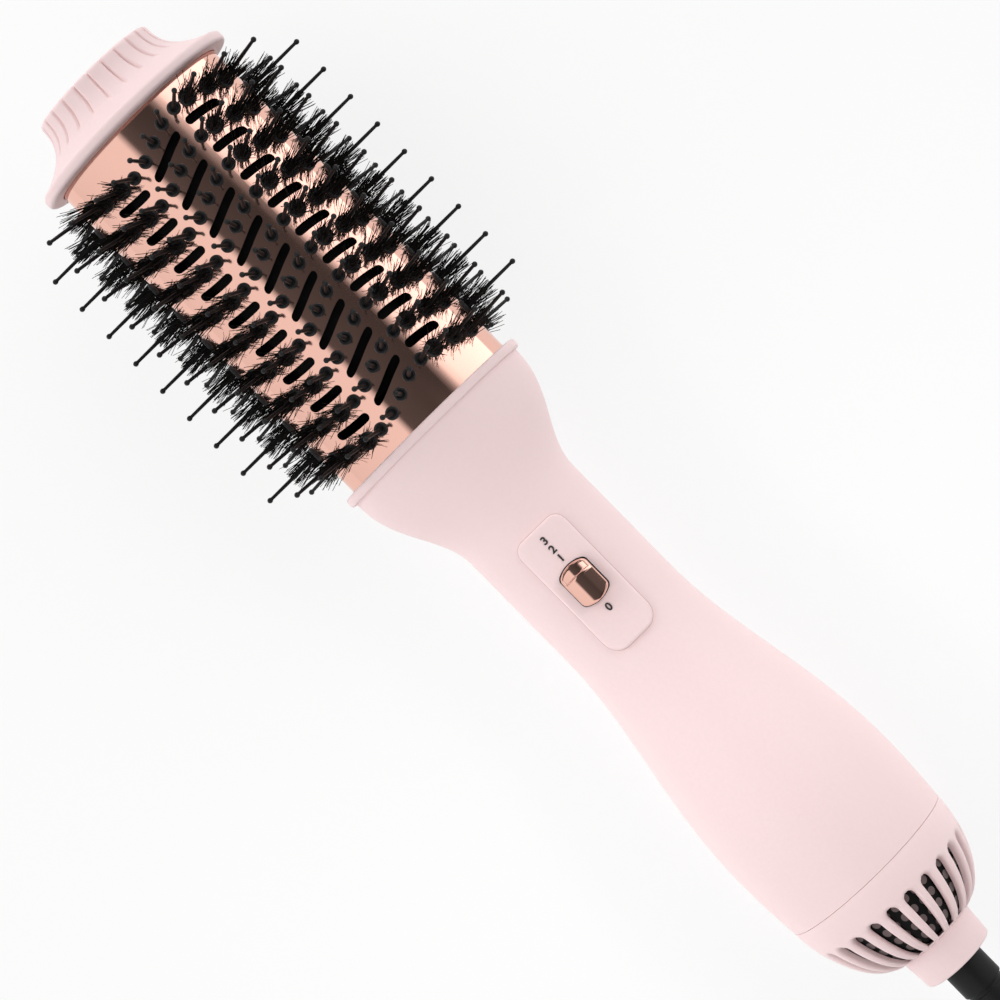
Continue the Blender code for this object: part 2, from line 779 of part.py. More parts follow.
def make_handle(frame):
    outside, inside = handle_sections()
    top = make_object("handle_shell_top", *half_shell(outside, inside, 1), "pink", frame)
    bottom = make_object("handle_shell_bottom", *half_shell(outside, inside, -1), "pink", frame)

    slot_front = stem_front() - KNOB_TRAVEL - STEM_CLEARANCE
    slot_back = stem_front() + STEM_LENGTH + STEM_CLEARANCE
    reach = NECK_HALF_DEPTH + PLATE_THICKNESS + KNOB_HEIGHT
    slot = stem_box(slot_front, slot_back, STEM_HALF_WIDTH + STEM_CLEARANCE, BOARD_LEVEL, reach)
    add_boolean(top, make_cutter("switch_slot_cutter", *slot, frame), "DIFFERENCE")

    for number, (station, across) in enumerate(screw_places(), 1):
        wall = shell_depth_at(station, abs(across) + BOSS_RADIUS, HANDLE_WALL / 2)
        head_seat = -SCREW_SEAT
        post = upright((station, across), [(FIT_GAP, BOSS_RADIUS), (wall, BOSS_RADIUS)])
        add_boolean(top, make_cutter(f"top_boss_{number}", *post, frame), "UNION")
        bore_top = SCREW_SHANK_LENGTH - SCREW_SEAT + FIT_GAP
        bore_radius = SCREW_SHANK_RADIUS + FIT_GAP
        bore = upright((station, across), [(-BOSS_RADIUS, bore_radius), (bore_top, bore_radius)])
        add_boolean(top, make_cutter(f"top_bore_{number}", *bore, frame), "DIFFERENCE")
        tube = upright((station, across), [(-wall, BOSS_RADIUS), (-FIT_GAP, BOSS_RADIUS)])
        add_boolean(bottom, make_cutter(f"bottom_boss_{number}", *tube, frame), "UNION")
        well_radius = SCREW_HEAD_RADIUS + FIT_GAP
        below = -wall - BOSS_RADIUS
        well = upright((station, across), [(below, well_radius), (head_seat, well_radius),
                                           (head_seat, bore_radius), (BOSS_RADIUS, bore_radius)])
        add_boolean(bottom, make_cutter(f"bottom_well_{number}", *well, frame), "DIFFERENCE")
        head_top = head_seat - FIT_GAP
        screw = upright((station, across), [(head_top - SCREW_HEAD_HEIGHT, SCREW_HEAD_RADIUS),
                                            (head_top, SCREW_HEAD_RADIUS), (head_top, SCREW_SHANK_RADIUS),
                                            (head_top + SCREW_SHANK_LENGTH, SCREW_SHANK_RADIUS)])
        make_object(f"handle_screw_{number}", *screw, "steel", frame)

    ring_start = HANDLE_START - NOSE_RETAINER_LENGTH
    outer = (BARREL_HALF_WIDTH - BARREL_WALL - FIT_GAP, BARREL_HALF_DEPTH - BARREL_WALL - FIT_GAP)
    inner = (outer[0] - HANDLE_WALL, outer[1] - HANDLE_WALL)
    throat_end = CAVITY_START + HANDLE_WALL
    rings = [oval_ring(ring_start, *outer), oval_ring(throat_end, *outer),
             oval_ring(throat_end, *inner), oval_ring(ring_start, *inner)]
    make_object("barrel_mount_ring", *skin(rings, loop=True), "black", frame)


def make_switch(frame):
    start = HANDLE_START + PLATE_START
    end = start + PLATE_LENGTH
    slot_front = stem_front() - KNOB_TRAVEL - STEM_CLEARANCE
    slot_back = stem_front() + STEM_LENGTH + STEM_CLEARANCE
    slot_share = (STEM_HALF_WIDTH + STEM_CLEARANCE) / PLATE_HALF_WIDTH
    shares = [-1.0, -(1.0 + slot_share) / 2, -slot_share, slot_share, (1.0 + slot_share) / 2, 1.0]

    def corner_back(inward, radius):
        """How far a round corner draws the plate's edge in, at a distance from the plate's end."""
        inward = min(inward, radius)
        return radius - math.sqrt(max(0.0, radius ** 2 - (radius - inward) ** 2))

    def plate_width(station):
        front_back = corner_back(station - start, PLATE_CORNER)
        return PLATE_HALF_WIDTH - front_back - corner_back(end - station, PLATE_REAR_CORNER)

    corner_shares = (0.0, PLATE_CORNER_SHARE, 1.0)
    stations = [start + share * PLATE_CORNER for share in corner_shares] + [slot_front, slot_back]
    stations += [end - share * PLATE_REAR_CORNER for share in reversed(corner_shares)]

    def lines(share, lift):
        line = []
        for station in stations:
            across = share * plate_width(station)
            line.append((station, across, shell_depth_at(station, across, -FIT_GAP) + lift))
        return line

    def keep(row, column):
        return not (row == 2 and column == len(corner_shares))

    outside = [lines(share, PLATE_THICKNESS) for share in shares]
    inside = [lines(share, 0.0) for share in shares]
    make_object("switch_plate", *grid_solid(outside, inside, keep), "pink", frame)

    plate_top = NECK_HALF_DEPTH + FIT_GAP + PLATE_THICKNESS
    knob_low = plate_top + FIT_GAP
    front = knob_front()

    def arch(station, slant, inset):
        """An arch across the knob, whose top leans back by the slant."""
        turns = [math.pi * step / KNOB_STEPS for step in range(KNOB_STEPS + 1)]
        return [(station + slant * math.sin(turn), (KNOB_HALF_WIDTH - inset) * math.cos(turn),
                 knob_low + (KNOB_HEIGHT - inset) * math.sin(turn)) for turn in turns]

    back = front + KNOB_LENGTH
    rings = [arch(front, KNOB_SLANT, 0.0), arch(back - KNOB_EDGE, 0.0, 0.0), arch(back, 0.0, KNOB_EDGE)]
    origin = (front + KNOB_LENGTH / 2, 0.0, knob_low)
    knob = make_object("switch_knob", *skin(rings), "rose_gold", frame, origin)
    switch_top = NECK_HALF_DEPTH - HANDLE_WALL - KNOB_HEIGHT
    stem = stem_box(stem_front(), stem_front() + STEM_LENGTH, STEM_HALF_WIDTH, switch_top + FIT_GAP,
                    knob_low + KNOB_HEIGHT / 2)
    add_boolean(knob, make_cutter("knob_stem", *stem, frame), "UNION")

    board_top = BOARD_LEVEL + BOARD_THICKNESS
    middle = stem_front() + STEM_LENGTH / 2 - KNOB_TRAVEL / 2
    case = box((middle - SWITCH_LENGTH / 2, -SWITCH_HALF_WIDTH, board_top + FIT_GAP),
               (middle + SWITCH_LENGTH / 2, SWITCH_HALF_WIDTH, switch_top))
    make_object("slide_switch", *case, "black", frame)
    cavity_width, cavity_depth = NECK_HALF_WIDTH - HANDLE_WALL, NECK_HALF_DEPTH - HANDLE_WALL
    facet = math.cos(0.5 * math.pi / SHELL_SIDES)
    board_half = cavity_width * math.sqrt(1.0 - (board_top / cavity_depth) ** 2) * facet - FIT_GAP
    board_front = heater_end() + FIT_GAP
    board = box((board_front, -board_half, BOARD_LEVEL),
                (board_front + BOARD_LENGTH, board_half, board_top))
    make_object("switch_board", *board, "board", frame)
    make_leads(frame, board_front + BOARD_LENGTH + FIT_GAP)


def make_leads(frame, start):
    """Two leads that hang from the end of the board to the front of the motor."""
    end = MOTOR_FRONT - FIT_GAP
    level = BOARD_LEVEL + BOARD_THICKNESS / 2
    for name, side in (("motor_lead_left", 1), ("motor_lead_right", -1)):
        route = []
        for step in range(LEAD_STEPS + 1):
            share = step / LEAD_STEPS
            sag = LEAD_SAG * math.sin(math.pi * share)
            route.append((start + (end - start) * share, side * LEAD_SPACING / 2, level - sag))
        make_tube(name, route, LEAD_DIAMETER, "black", frame, 0)


def heater_start():
    return HANDLE_START + HEATER_START


def heater_end():
    return heater_start() + HEATER_LENGTH


def mica_card(half_width, waist, slit_front):
    """Outline of a heater card: wider ends that hold it in the tube, and a slit to its middle."""
    start = heater_start() + FIT_GAP
    end = heater_end() - FIT_GAP
    middle = (start + end) / 2
    slit = MICA_THICKNESS / 2 + FIT_GAP
    outline = [(start, -half_width), (start + MICA_END, -half_width), (start + MICA_END, -waist),
               (end - MICA_END, -waist), (end - MICA_END, -half_width), (end, -half_width),
               (end, half_width), (end - MICA_END, half_width), (end - MICA_END, waist),
               (start + MICA_END, waist), (start + MICA_END, half_width), (start, half_width)]
    if slit_front:
        return outline + [(start, slit), (middle + FIT_GAP, slit), (middle + FIT_GAP, -slit), (start, -slit)]
    return outline[:6] + [(end, -slit), (middle - FIT_GAP, -slit), (middle - FIT_GAP, slit),
                          (end, slit)] + outline[6:]


def plate_from_outline(outline, upright_card):
    half = MICA_THICKNESS / 2
    layers = []
    for side in (-half, half):
        if upright_card:
            layers.append([(station, side, across) for station, across in outline])
        else:
            layers.append([(station, across, side) for station, across in outline])
    return skin(layers)


def make_tube(name, route, diameter, finish, parent, resolution):
    """A tube of a given diameter along points in millimetres, as a curve with closed ends."""
    curve = bpy.data.curves.new(name, "CURVE")
    curve.dimensions = "3D"
    curve.bevel_depth = diameter / 2 * MM
    curve.bevel_resolution = resolution
    curve.use_fill_caps = True
    spline = curve.splines.new("POLY")
    spline.points.add(len(route) - 1)
    for point, place in zip(spline.points, route):
        point.co = (*(Vector(place) * MM), 1.0)
    item = bpy.data.objects.new(name, curve)
    item.parent = parent
    bpy.context.scene.collection.objects.link(item)
    curve.materials.append(make_material(name, finish))
    return item


def make_heater(frame):
    inner_radius = HEATER_RADIUS - HEATER_TUBE_WALL
    tube = [(heater_start(), HEATER_RADIUS), (heater_end(), HEATER_RADIUS),
            (heater_end(), inner_radius), (heater_start(), inner_radius)]
    make_object("heater_tube", *turned(tube, loop=True), "steel", frame)
    for name, station in (("heater_ring_front", heater_start() + FIT_GAP),
                          ("heater_ring_rear", heater_end() - HEATER_RING_LENGTH - FIT_GAP)):
        stations = (station, station + HEATER_RING_LENGTH)
        sizes = [cavity_oval(place, FIT_GAP) for place in stations]
        width = min(size[0] for size in sizes)
        depth = min(size[1] for size in sizes)
        bore = (HEATER_RADIUS + FIT_GAP) / math.cos(math.pi / ROUND_SIDES)
        rings = [oval_ring(place, width, depth, ROUND_SIDES) for place in stations]
        rings += [oval_ring(place, bore, bore, ROUND_SIDES) for place in reversed(stations)]
        make_object(name, *skin(rings, loop=True), "mica", frame)

    half_width = inner_radius * math.cos(math.pi / ROUND_SIDES) - FIT_GAP
    wire_radius = WINDING_WIRE / 2
    coil_radius = half_width - wire_radius
    waist = coil_radius * math.cos(math.pi / WINDING_STEPS) - wire_radius - FIT_GAP
    upright_card = plate_from_outline(mica_card(half_width, waist, True), True)
    level_card = plate_from_outline(mica_card(half_width, waist, False), False)
    make_object("mica_card_upright", *upright_card, "mica", frame)
    make_object("mica_card_level", *level_card, "mica", frame)

    first = heater_start() + FIT_GAP + MICA_END + WINDING_WIRE
    last = heater_end() - FIT_GAP - MICA_END - WINDING_WIRE
    route = []
    for step in range(WINDING_TURNS * WINDING_STEPS + 1):
        turn = 2 * math.pi * step / WINDING_STEPS
        station = first + (last - first) * step / (WINDING_TURNS * WINDING_STEPS)
        route.append((station, coil_radius * math.cos(turn), coil_radius * math.sin(turn)))
    make_tube("heater_winding", route, WINDING_WIRE, "steel", frame, 0)

    card_top = MICA_THICKNESS / 2 + FIT_GAP
    length, width, height = THERMOSTAT_SIZE
    front = heater_start() + FIT_GAP + MICA_END
    thermostat = box((front, card_top, card_top), (front + length, card_top + width, card_top + height))
    make_object("thermostat", *thermostat, "black", frame)
    fuse_level = card_top + FUSE_RADIUS
    rings = []
    for station, radius in ((front, FUSE_RADIUS), (front + FUSE_LENGTH, FUSE_RADIUS)):
        ring = oval_ring(station, radius, radius, SMALL_SIDES)
        rings.append([(x, y - fuse_level - FUSE_RADIUS, z + fuse_level) for x, y, z in ring])
    make_object("thermal_fuse", *skin(rings), "nylon", frame)


def make_motor(frame):
    bore = SHAFT_RADIUS + FIT_GAP
    inner = MOTOR_RADIUS - MOTOR_WALL
    can_end = MOTOR_REAR - MOTOR_WALL
    can_floor = MOTOR_FRONT + MOTOR_WALL
    can = [(MOTOR_FRONT, bore), (MOTOR_FRONT, MOTOR_RADIUS), (can_end, MOTOR_RADIUS),
           (can_end, inner), (can_floor, inner), (can_floor, bore)]
    make_object("motor_can", *turned(can, loop=True), "steel", frame)
    plate_front = can_end + FIT_GAP
    plate = [(plate_front, bore), (plate_front, MOTOR_RADIUS), (MOTOR_REAR + FIT_GAP, MOTOR_RADIUS),
             (MOTOR_REAR + FIT_GAP, bore)]
    make_object("motor_end_plate", *turned(plate, loop=True), "black", frame)

    magnet_outer = inner * math.cos(math.pi / ROUND_SIDES) - FIT_GAP
    magnet_inner = magnet_outer - MAGNET_THICKNESS
    front = can_floor + FIT_GAP
    back = can_end - FIT_GAP
    arc_angles = spread(-MAGNET_ARC / 2, MAGNET_ARC / 2, MAGNET_STEPS)
    for name, centre in (("motor_magnet_left", 0.0), ("motor_magnet_right", HALF_TURN)):
        layers = []
        for station in (front, back):
            turns = [math.radians(centre + angle) for angle in arc_angles]
            arc = [(station, magnet_outer * math.cos(turn), magnet_outer * math.sin(turn)) for turn in turns]
            arc += [(station, magnet_inner * math.cos(turn), magnet_inner * math.sin(turn))
                    for turn in reversed(turns)]
            layers.append(arc)
        make_object(name, *skin(layers), "dark_magnet", frame)

    shaft_end = MOTOR_REAR + SHAFT_REACH
    rotor_front = front + FIT_GAP
    rotor_back = back - FIT_GAP
    rotor = [(MOTOR_FRONT - FIT_GAP, SHAFT_RADIUS), (rotor_front, SHAFT_RADIUS),
             (rotor_front, ROTOR_RADIUS), (rotor_back, ROTOR_RADIUS),
             (rotor_back, SHAFT_RADIUS), (shaft_end, SHAFT_RADIUS)]
    origin = (FAN_FRONT, 0.0, 0.0)
    make_object("motor_rotor", *turned(rotor), "steel", frame, origin)
    make_fan(frame, origin)
    make_motor_mount(frame)


def make_fan(frame, origin):
    """Blades and hub as one star-shaped section, twisted along the shaft, round the shaft's bore."""
    bore = (SHAFT_RADIUS + FIT_GAP) / math.cos(math.pi / ROUND_SIDES)
    blade = 2 * math.pi / FAN_BLADES
    shares = [(share, FAN_RADIUS) for share in FAN_BLADE_SHARES]
    shares += [(share, FAN_HUB_RADIUS) for share in FAN_HUB_SHARES]
    outer_rings = []
    inner_rings = []
    for layer in range(FAN_LAYERS + 1):
        station = FAN_FRONT + FAN_LENGTH * layer / FAN_LAYERS
        twist = math.radians(FAN_TWIST) * layer / FAN_LAYERS
        outer = []
        inner = []
        for number in range(FAN_BLADES):
            for share, radius in shares:
                turn = (number + share) * blade + twist
                outer.append((station, radius * math.cos(turn), radius * math.sin(turn)))
                inner.append((station, bore * math.cos(turn), bore * math.sin(turn)))
        outer_rings.append(outer)
        inner_rings.append(inner)
    make_object("fan_impeller", *skin(outer_rings + inner_rings[::-1], loop=True), "black", frame, origin)


def make_motor_mount(frame):
    """A sleeve round the motor held by arms in a ring that fits the handle's inside."""
    start = MOTOR_FRONT + MOUNT_OFFSET
    end = start + MOUNT_LENGTH
    sizes = [cavity_oval(station, FIT_GAP) for station in (start, end)]
    width = min(size[0] for size in sizes)
    depth = min(size[1] for size in sizes)
    sleeve = (MOTOR_RADIUS + FIT_GAP) / math.cos(math.pi / ROUND_SIDES)
    ovals = ((sleeve, sleeve), (sleeve + MOUNT_RING, sleeve + MOUNT_RING),
             (width - MOUNT_RING, depth - MOUNT_RING), (width, depth))
    gap = ROUND_SIDES // MOUNT_ARMS

    def lines(step, station):
        turn = 2 * math.pi * (step + 0.5) / ROUND_SIDES
        return [(station, oval[0] * math.cos(turn), oval[1] * math.sin(turn)) for oval in ovals]

    def keep(row, column):
        return column != 1 or row % gap == gap // 2

    front = [lines(step, start) for step in range(ROUND_SIDES)]
    back = [lines(step, end) for step in range(ROUND_SIDES)]
    make_object("motor_mount", *grid_solid(front, back, keep, wrap=True), "nylon", frame)


def make_grille(frame):
    sides = 2 * GRILLE_SLOTS
    spigot_width, spigot_depth = cavity_oval(SEAM_STATION, FIT_GAP)
    start = SEAM_STATION + FIT_GAP
    slot_start = SEAM_STATION + GRILLE_SLOT_START
    slot_end = SEAM_STATION + GRILLE_SLOT_END
    stations = [start] + spread(slot_start, slot_end, GRILLE_SLOT_STEPS) + [GRILLE_END]
    slot_columns = range(3, 3 + GRILLE_SLOT_STEPS)

    def section(oval, station, turn):
        return (station, oval[0] * math.cos(turn), oval[1] * math.sin(turn))

    def inner_oval(station):
        half_width, half_depth = dome_oval(station)
        spigot = (spigot_width - GRILLE_WALL, spigot_depth - GRILLE_WALL)
        return (min(half_width - GRILLE_WALL, spigot[0]), min(half_depth - GRILLE_WALL, spigot[1]))

    def lines(step, outer):
        turn = 2 * math.pi * (step + 0.5) / sides
        if outer:
            spigot = (spigot_width, spigot_depth)
            line = [section(spigot, station, turn) for station in (start - GRILLE_SPIGOT, start)]
            return line + [section(dome_oval(station), station, turn) for station in stations]
        places = [start - GRILLE_SPIGOT, start - FIT_GAP] + stations
        return [section(inner_oval(station), station, turn) for station in places]

    def keep(row, column):
        return row % 2 == 1 or column not in slot_columns

    outside = [lines(step, True) for step in range(sides)]
    inside = [lines(step, False) for step in range(sides)]
    make_object("rear_grille", *grid_solid(outside, inside, keep, wrap=True), "pink", frame)
    make_filter(frame, inner_oval)


def make_filter(frame, inner_oval):
    """A perforated dome just inside the grille."""
    start = SEAM_STATION + FIT_GAP
    stations = spread(start, start + FILTER_LENGTH, FILTER_STEPS)
    sides = ROUND_SIDES

    def lines(step, inset):
        turn = 2 * math.pi * step / sides
        line = []
        for station in stations:
            half_width, half_depth = [half - inset for half in inner_oval(station)]
            line.append((station, half_width * math.cos(turn), half_depth * math.sin(turn)))
        return line

    def keep(row, column):
        return row % 2 == 0 or column % 2 == 0

    outside = [lines(step, FILTER_GAP) for step in range(sides)]
    inside = [lines(step, FILTER_GAP + FILTER_WALL) for step in range(sides)]
    make_object("intake_filter", *grid_solid(outside, inside, keep, wrap=True), "black", frame)


def make_cord_exit(frame):
    wall_front = COLLAR_END - COLLAR_WALL
    socket = (RELIEF_FLANGE_RADIUS + FIT_GAP) / math.cos(math.pi / ROUND_SIDES)
    collar = [(COLLAR_START, COLLAR_RADIUS), (COLLAR_END, COLLAR_END_RADIUS), (COLLAR_END, COLLAR_BORE),
              (wall_front, COLLAR_BORE), (wall_front, socket), (COLLAR_START, socket)]
    make_object("cord_collar", *turned(collar, loop=True), "pink", frame)

    flange_back = wall_front - FIT_GAP
    flange_front = flange_back - RELIEF_FLANGE_LENGTH
    relief = [(flange_front, RELIEF_FLANGE_RADIUS), (flange_back, RELIEF_FLANGE_RADIUS),
              (flange_back, RELIEF_RADIUS), (COLLAR_END + COLLAR_LENGTH, RELIEF_RADIUS),
              (COLLAR_END + RELIEF_LENGTH, RELIEF_END_RADIUS)]
    origin = (COLLAR_END, 0.0, 0.0)
    make_object("strain_relief", *turned(relief), "black", frame, origin)

    clip_back = flange_front - FIT_GAP
    clip_front = clip_back - RETAINER_LENGTH
    clip_radius = RELIEF_FLANGE_RADIUS
    clip = [(clip_front, RELIEF_RADIUS), (clip_front, clip_radius), (clip_back, clip_radius),
            (clip_back, RELIEF_RADIUS)]
    make_object("swivel_retainer", *turned(clip, loop=True), "steel", frame)


def smooth_route(points, steps):
    """Points read from a smooth curve through a route's own points."""
    padded = [points[0] * 2 - points[1]] + points + [points[-1] * 2 - points[-2]]
    route = []
    for a, b, c, d in zip(padded, padded[1:], padded[2:], padded[3:]):
        for step in range(steps):
            t = step / steps
            route.append(0.5 * (2 * b + (c - a) * t + (2 * a - 5 * b + 4 * c - d) * t ** 2
                                + (3 * b - a - 3 * c + d) * t ** 3))
    route.append(points[-1].copy())
    return route


def least_self_gap(route, diameter, apart):
    """The least clear distance between stretches of a tube that are more than a few points apart."""
    least = min((a - b).length for i, a in enumerate(route) for b in route[i + apart:])
    return least - diameter


def coil_radius(turn_count):
    """The coil spirals in to the middle of its length and out again, at one steady rate."""
    return COIL_INNER_RADIUS + COIL_PITCH * abs(turn_count - COIL_TURNS / 2)


def coil_low():
    return TIE_LEVEL + TIE_THICKNESS + FIT_GAP + CORD_DIAMETER / 2


def coil_route(centre):
    """Loops on two layers, with the climb in the half turn where the spiral reverses, and straight ends."""
    steps = round(COIL_TURNS * COIL_STEPS)
    route = []
    for step in range(steps + 1):
        turn_count = step / COIL_STEPS
        climb = min(1.0, max(0.0, turn_count - COIL_TURNS / 2 + 0.25) * 2)
        turn = 2 * math.pi * (turn_count - 0.25)
        radius = coil_radius(turn_count)
        height = coil_low() + COIL_PITCH * ease(climb)
        route.append(centre + Vector((radius * math.cos(turn), radius * math.sin(turn), height)))
    lead_in = route[0] - Vector((CORD_DIAMETER, 0.0, 0.0))
    drop = route[-1].z - PLUG_HALF_HEIGHT - TIE_LEVEL
    tail = []
    for step in range(1, PLUG_TAIL_STEPS + 1):
        share = step / PLUG_TAIL_STEPS
        tail.append(route[-1] + Vector((-PLUG_TAIL * share, 0.0, -drop * ease(share))))
    tail.append(tail[-1] - Vector((CORD_DIAMETER, 0.0, 0.0)))
    return [lead_in] + route + tail


def make_cord(frame):
    """The mains cord from the strain relief to its plug, laid on the floor behind the brush."""
    relief_end = Vector((COLLAR_END + RELIEF_LENGTH + FIT_GAP, 0.0, 0.0))
    exit_point = frame.matrix_world @ (relief_end * MM) / MM
    centre = Vector((exit_point.x + COIL_OFFSET, 0.0, 0.0))
    coil = coil_route(centre)
    points = [exit_point] + [exit_point + Vector(step) for step in CORD_ROUTE]
    points += [coil[0] - Vector((FIT_GAP + CORD_DIAMETER, 0.0, 0.0)), coil[0] - Vector((FIT_GAP, 0.0, 0.0))]
    make_tube("cord_run", smooth_route(points, CORD_STEPS), CORD_DIAMETER, "black", None, 2)
    gap = least_self_gap(coil, CORD_DIAMETER, COIL_STEPS // 2)
    print("cord coil least gap to itself, mm:", round(gap, 2))
    make_tube("cord_coil", coil, CORD_DIAMETER, "black", None, 1)
    make_tie(centre)
    make_plug(coil[-1] - Vector((FIT_GAP, 0.0, 0.0)))


def rounded_box(low, high, corner, level):
    """Corners of an upright rectangle with cut corners, at one place across the coil."""
    left, bottom = low
    right, top = high
    outline = [(left + corner, bottom), (right - corner, bottom), (right, bottom + corner),
               (right, top - corner), (right - corner, top), (left + corner, top),
               (left, top - corner), (left, bottom + corner)]
    return [(across, level, height) for across, height in outline]


def make_tie(centre):
    """A strap round all the turns, on the side of the coil away from the brush."""
    cord_radius = CORD_DIAMETER / 2
    near = centre.x + coil_radius(COIL_TURNS / 2) - cord_radius - TIE_CLEARANCE
    far = centre.x + coil_radius(COIL_TURNS - 0.25) + cord_radius + TIE_CLEARANCE
    low = TIE_LEVEL + TIE_THICKNESS
    high = coil_low() + COIL_PITCH + cord_radius + FIT_GAP
    sides = (-TIE_WIDTH / 2, TIE_WIDTH / 2)
    outer = [rounded_box((near - TIE_THICKNESS, TIE_LEVEL), (far + TIE_THICKNESS, high + TIE_THICKNESS),
                         TIE_THICKNESS, side) for side in sides]
    inner = [rounded_box((near, low), (far, high), FIT_GAP, side) for side in sides]
    make_object("cord_tie", *skin([outer[0], outer[1], inner[1], inner[0]], loop=True), "black")


def make_plug(start):
    """A flat two-pin plug that lies beside the coil."""
    def section(distance, half_width, half_height):
        ring = oval_ring(start.x - distance, half_width, half_height, ROUND_SIDES)
        return [(x, y + start.y, z + start.z) for x, y, z in ring]

    body = [section(0.0, PLUG_NECK_RADIUS, PLUG_NECK_RADIUS)]
    for along, width, height in PLUG_PROFILE:
        body.append(section(PLUG_LENGTH * along, PLUG_HALF_WIDTH * width, PLUG_HALF_HEIGHT * height))
    make_object("plug_body", *skin(body), "black")
    face = start.x - PLUG_LENGTH - FIT_GAP
    for name, side in (("plug_pin_left", 1), ("plug_pin_right", -1)):
        shift = start.y + side * PLUG_PIN_SPACING / 2
        rings = []
        for distance, radius in ((0.0, PLUG_PIN_RADIUS),
                                 (PLUG_PIN_LENGTH - PLUG_PIN_ROUNDING, PLUG_PIN_RADIUS),
                                 (PLUG_PIN_LENGTH, PLUG_PIN_RADIUS - PLUG_PIN_ROUNDING)):
            ring = oval_ring(face - distance, radius, radius, SMALL_SIDES)
            rings.append([(x, y + shift, z + start.z) for x, y, z in ring])
        make_object(name, *skin(rings), "steel")


def build():
    clear_scene()
    frame = make_frame()
    make_nose(frame)
    make_barrel(frame)
    make_comb("bristle_comb_front", frame, 0.0)
    make_comb("bristle_comb_back", frame, HALF_TURN)
    make_side_strip("bristle_strip_left", frame, 0.0)
    make_side_strip("bristle_strip_right", frame, HALF_TURN)
    make_handle(frame)
    make_switch(frame)
    make_heater(frame)
    make_motor(frame)
    make_grille(frame)
    make_cord_exit(frame)
    make_cord(frame)


build()
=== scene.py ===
"""Looks of the hot air brush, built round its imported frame.

Sizes are millimetres along the brush's own axis: x from the nose to the cord, y across, z towards the switch.
"""
import json
import math
import random

import bmesh
import bpy
from mathutils import Matrix, Vector


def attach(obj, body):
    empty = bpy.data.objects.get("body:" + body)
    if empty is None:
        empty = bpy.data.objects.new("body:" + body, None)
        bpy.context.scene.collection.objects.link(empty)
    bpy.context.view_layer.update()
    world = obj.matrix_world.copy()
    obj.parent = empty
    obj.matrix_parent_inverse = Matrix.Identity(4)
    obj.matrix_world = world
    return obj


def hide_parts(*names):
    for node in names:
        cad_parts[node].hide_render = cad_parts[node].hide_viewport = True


MM = 0.001

# Camera: what the picture's middle shows, and where the camera stands, along the brush's axis
VIEW_MIDDLE = (168.3, -1.6, 0.0)
CAMERA_PLACE = (176.0, 33.0, 844.0)
PICTURE_TURN = 45.46
PICTURE_WIDTH = 286.0
SENSOR = 36.0
CLIP = (0.05, 50.0)

# Nose cap
NOSE_LENGTH = 19.2
NOSE_FRONT = (21.0, 12.6)
NOSE_EDGE = 1.2
NOSE_OVERHANG = 5.0
NOSE_RIM = 3.6
NOSE_LIP = 1.3
NOSE_SOCKET = 4.6
NOSE_CURVE = 3
NOSE_STEPS = 28
NOSE_EDGE_STEPS = 4
NOSE_LIP_STEPS = 5
NOSE_RIM_STEPS = 6
FLUTES = 24
FLUTE_PITCH = 360.0 / FLUTES
FLUTE_DEPTH = 0.9
FLUTE_HALF_ANGLE = 1.9
FLUTE_END = 11.4
FLUTE_FADE = 1.4
FLUTE_STEPS = (-7.5, -5.0, -3.0, -1.9, -1.3, -0.6, 0.0, 0.6, 1.3, 1.9, 3.0, 5.0)

# Barrel
BARREL = (30.0, 16.5)
BARREL_START = 14.9
BARREL_END = 140.6
BARREL_WALL = 1.0
SLOT_WIDTH = 2.8
SLOT_BANDS = ((-45.7, -20.6), (-13.6, 13.6), (20.6, 45.7))
SLOT_LEAST = 0.02
SLOT_END_CLEAR = 1.2
SLOT_END_STEPS = (0.0, 0.25, 0.7, 1.4)
ANGLE_STEP = 2.5

# Bristles: rows are angles round the oval from its crest, edges (share of height, change of radius)
CHANCE_SEED = 7
COLUMN_COUNT = 10
COLUMN_PITCH = 11.0
COLUMN_START = 28.7
COLUMN_SWAY = 3.1
SWAY_CREST = 21.0
SWAY_END = 62.0
SINGLE_ROWS = (0.0, -10.4, 10.4, -21.3, 21.3)
TUFT_ROWS = (-31.7, 31.7, -47.3, 47.3, -62.6, 62.6)
PIN_REACH = 19.6
PIN_FOOT_RADIUS = 0.65
PIN_FOOT_HEIGHT = 1.0
PIN_TIP_RADIUS = 0.5
PIN_POINT = 0.05
PIN_SIDES = 10
BALL_RADIUS = 0.85
BALL_DEGREES = (-45.0, -15.0, 15.0, 45.0, 75.0)
BASE_SINK = 0.3
BASE_SIDES = 24
RING_RADIUS = 2.05
RING_HEIGHT = 0.7
RING_EDGE = ((0.5, 0.0), (0.85, -0.12), (1.0, -0.35))
RING_HOLE = 1.3
RING_HOLE_EDGE = (0.85, 0.1)
RING_HOLE_FLOOR = 0.02
# A thin disc of the darker pin black on each ring's hollow floor is painted shade
RING_HOLE_SHADE_HEIGHT = 0.06
DISC_RADIUS = 2.7
DISC_HEIGHT = 0.7
DISC_EDGE = ((0.6, 0.0), (1.0, -0.4))
TUFT_STRANDS = 60
TUFT_REACH = 9.5
TUFT_SPREAD = 0.12
TUFT_STRAY = 0.17
TUFT_TURN = 0.382
TUFT_TURN_STRAY = 0.05
TUFT_MARGIN = 0.2
TUFT_CORE = 0.3
TUFT_SINK = 0.2
TUFT_LENGTHS = (0.84, 1.06)
STRAND_RADIUS = 0.135
STRAND_TAPER = 0.3
STRAND_CURL = 0.2

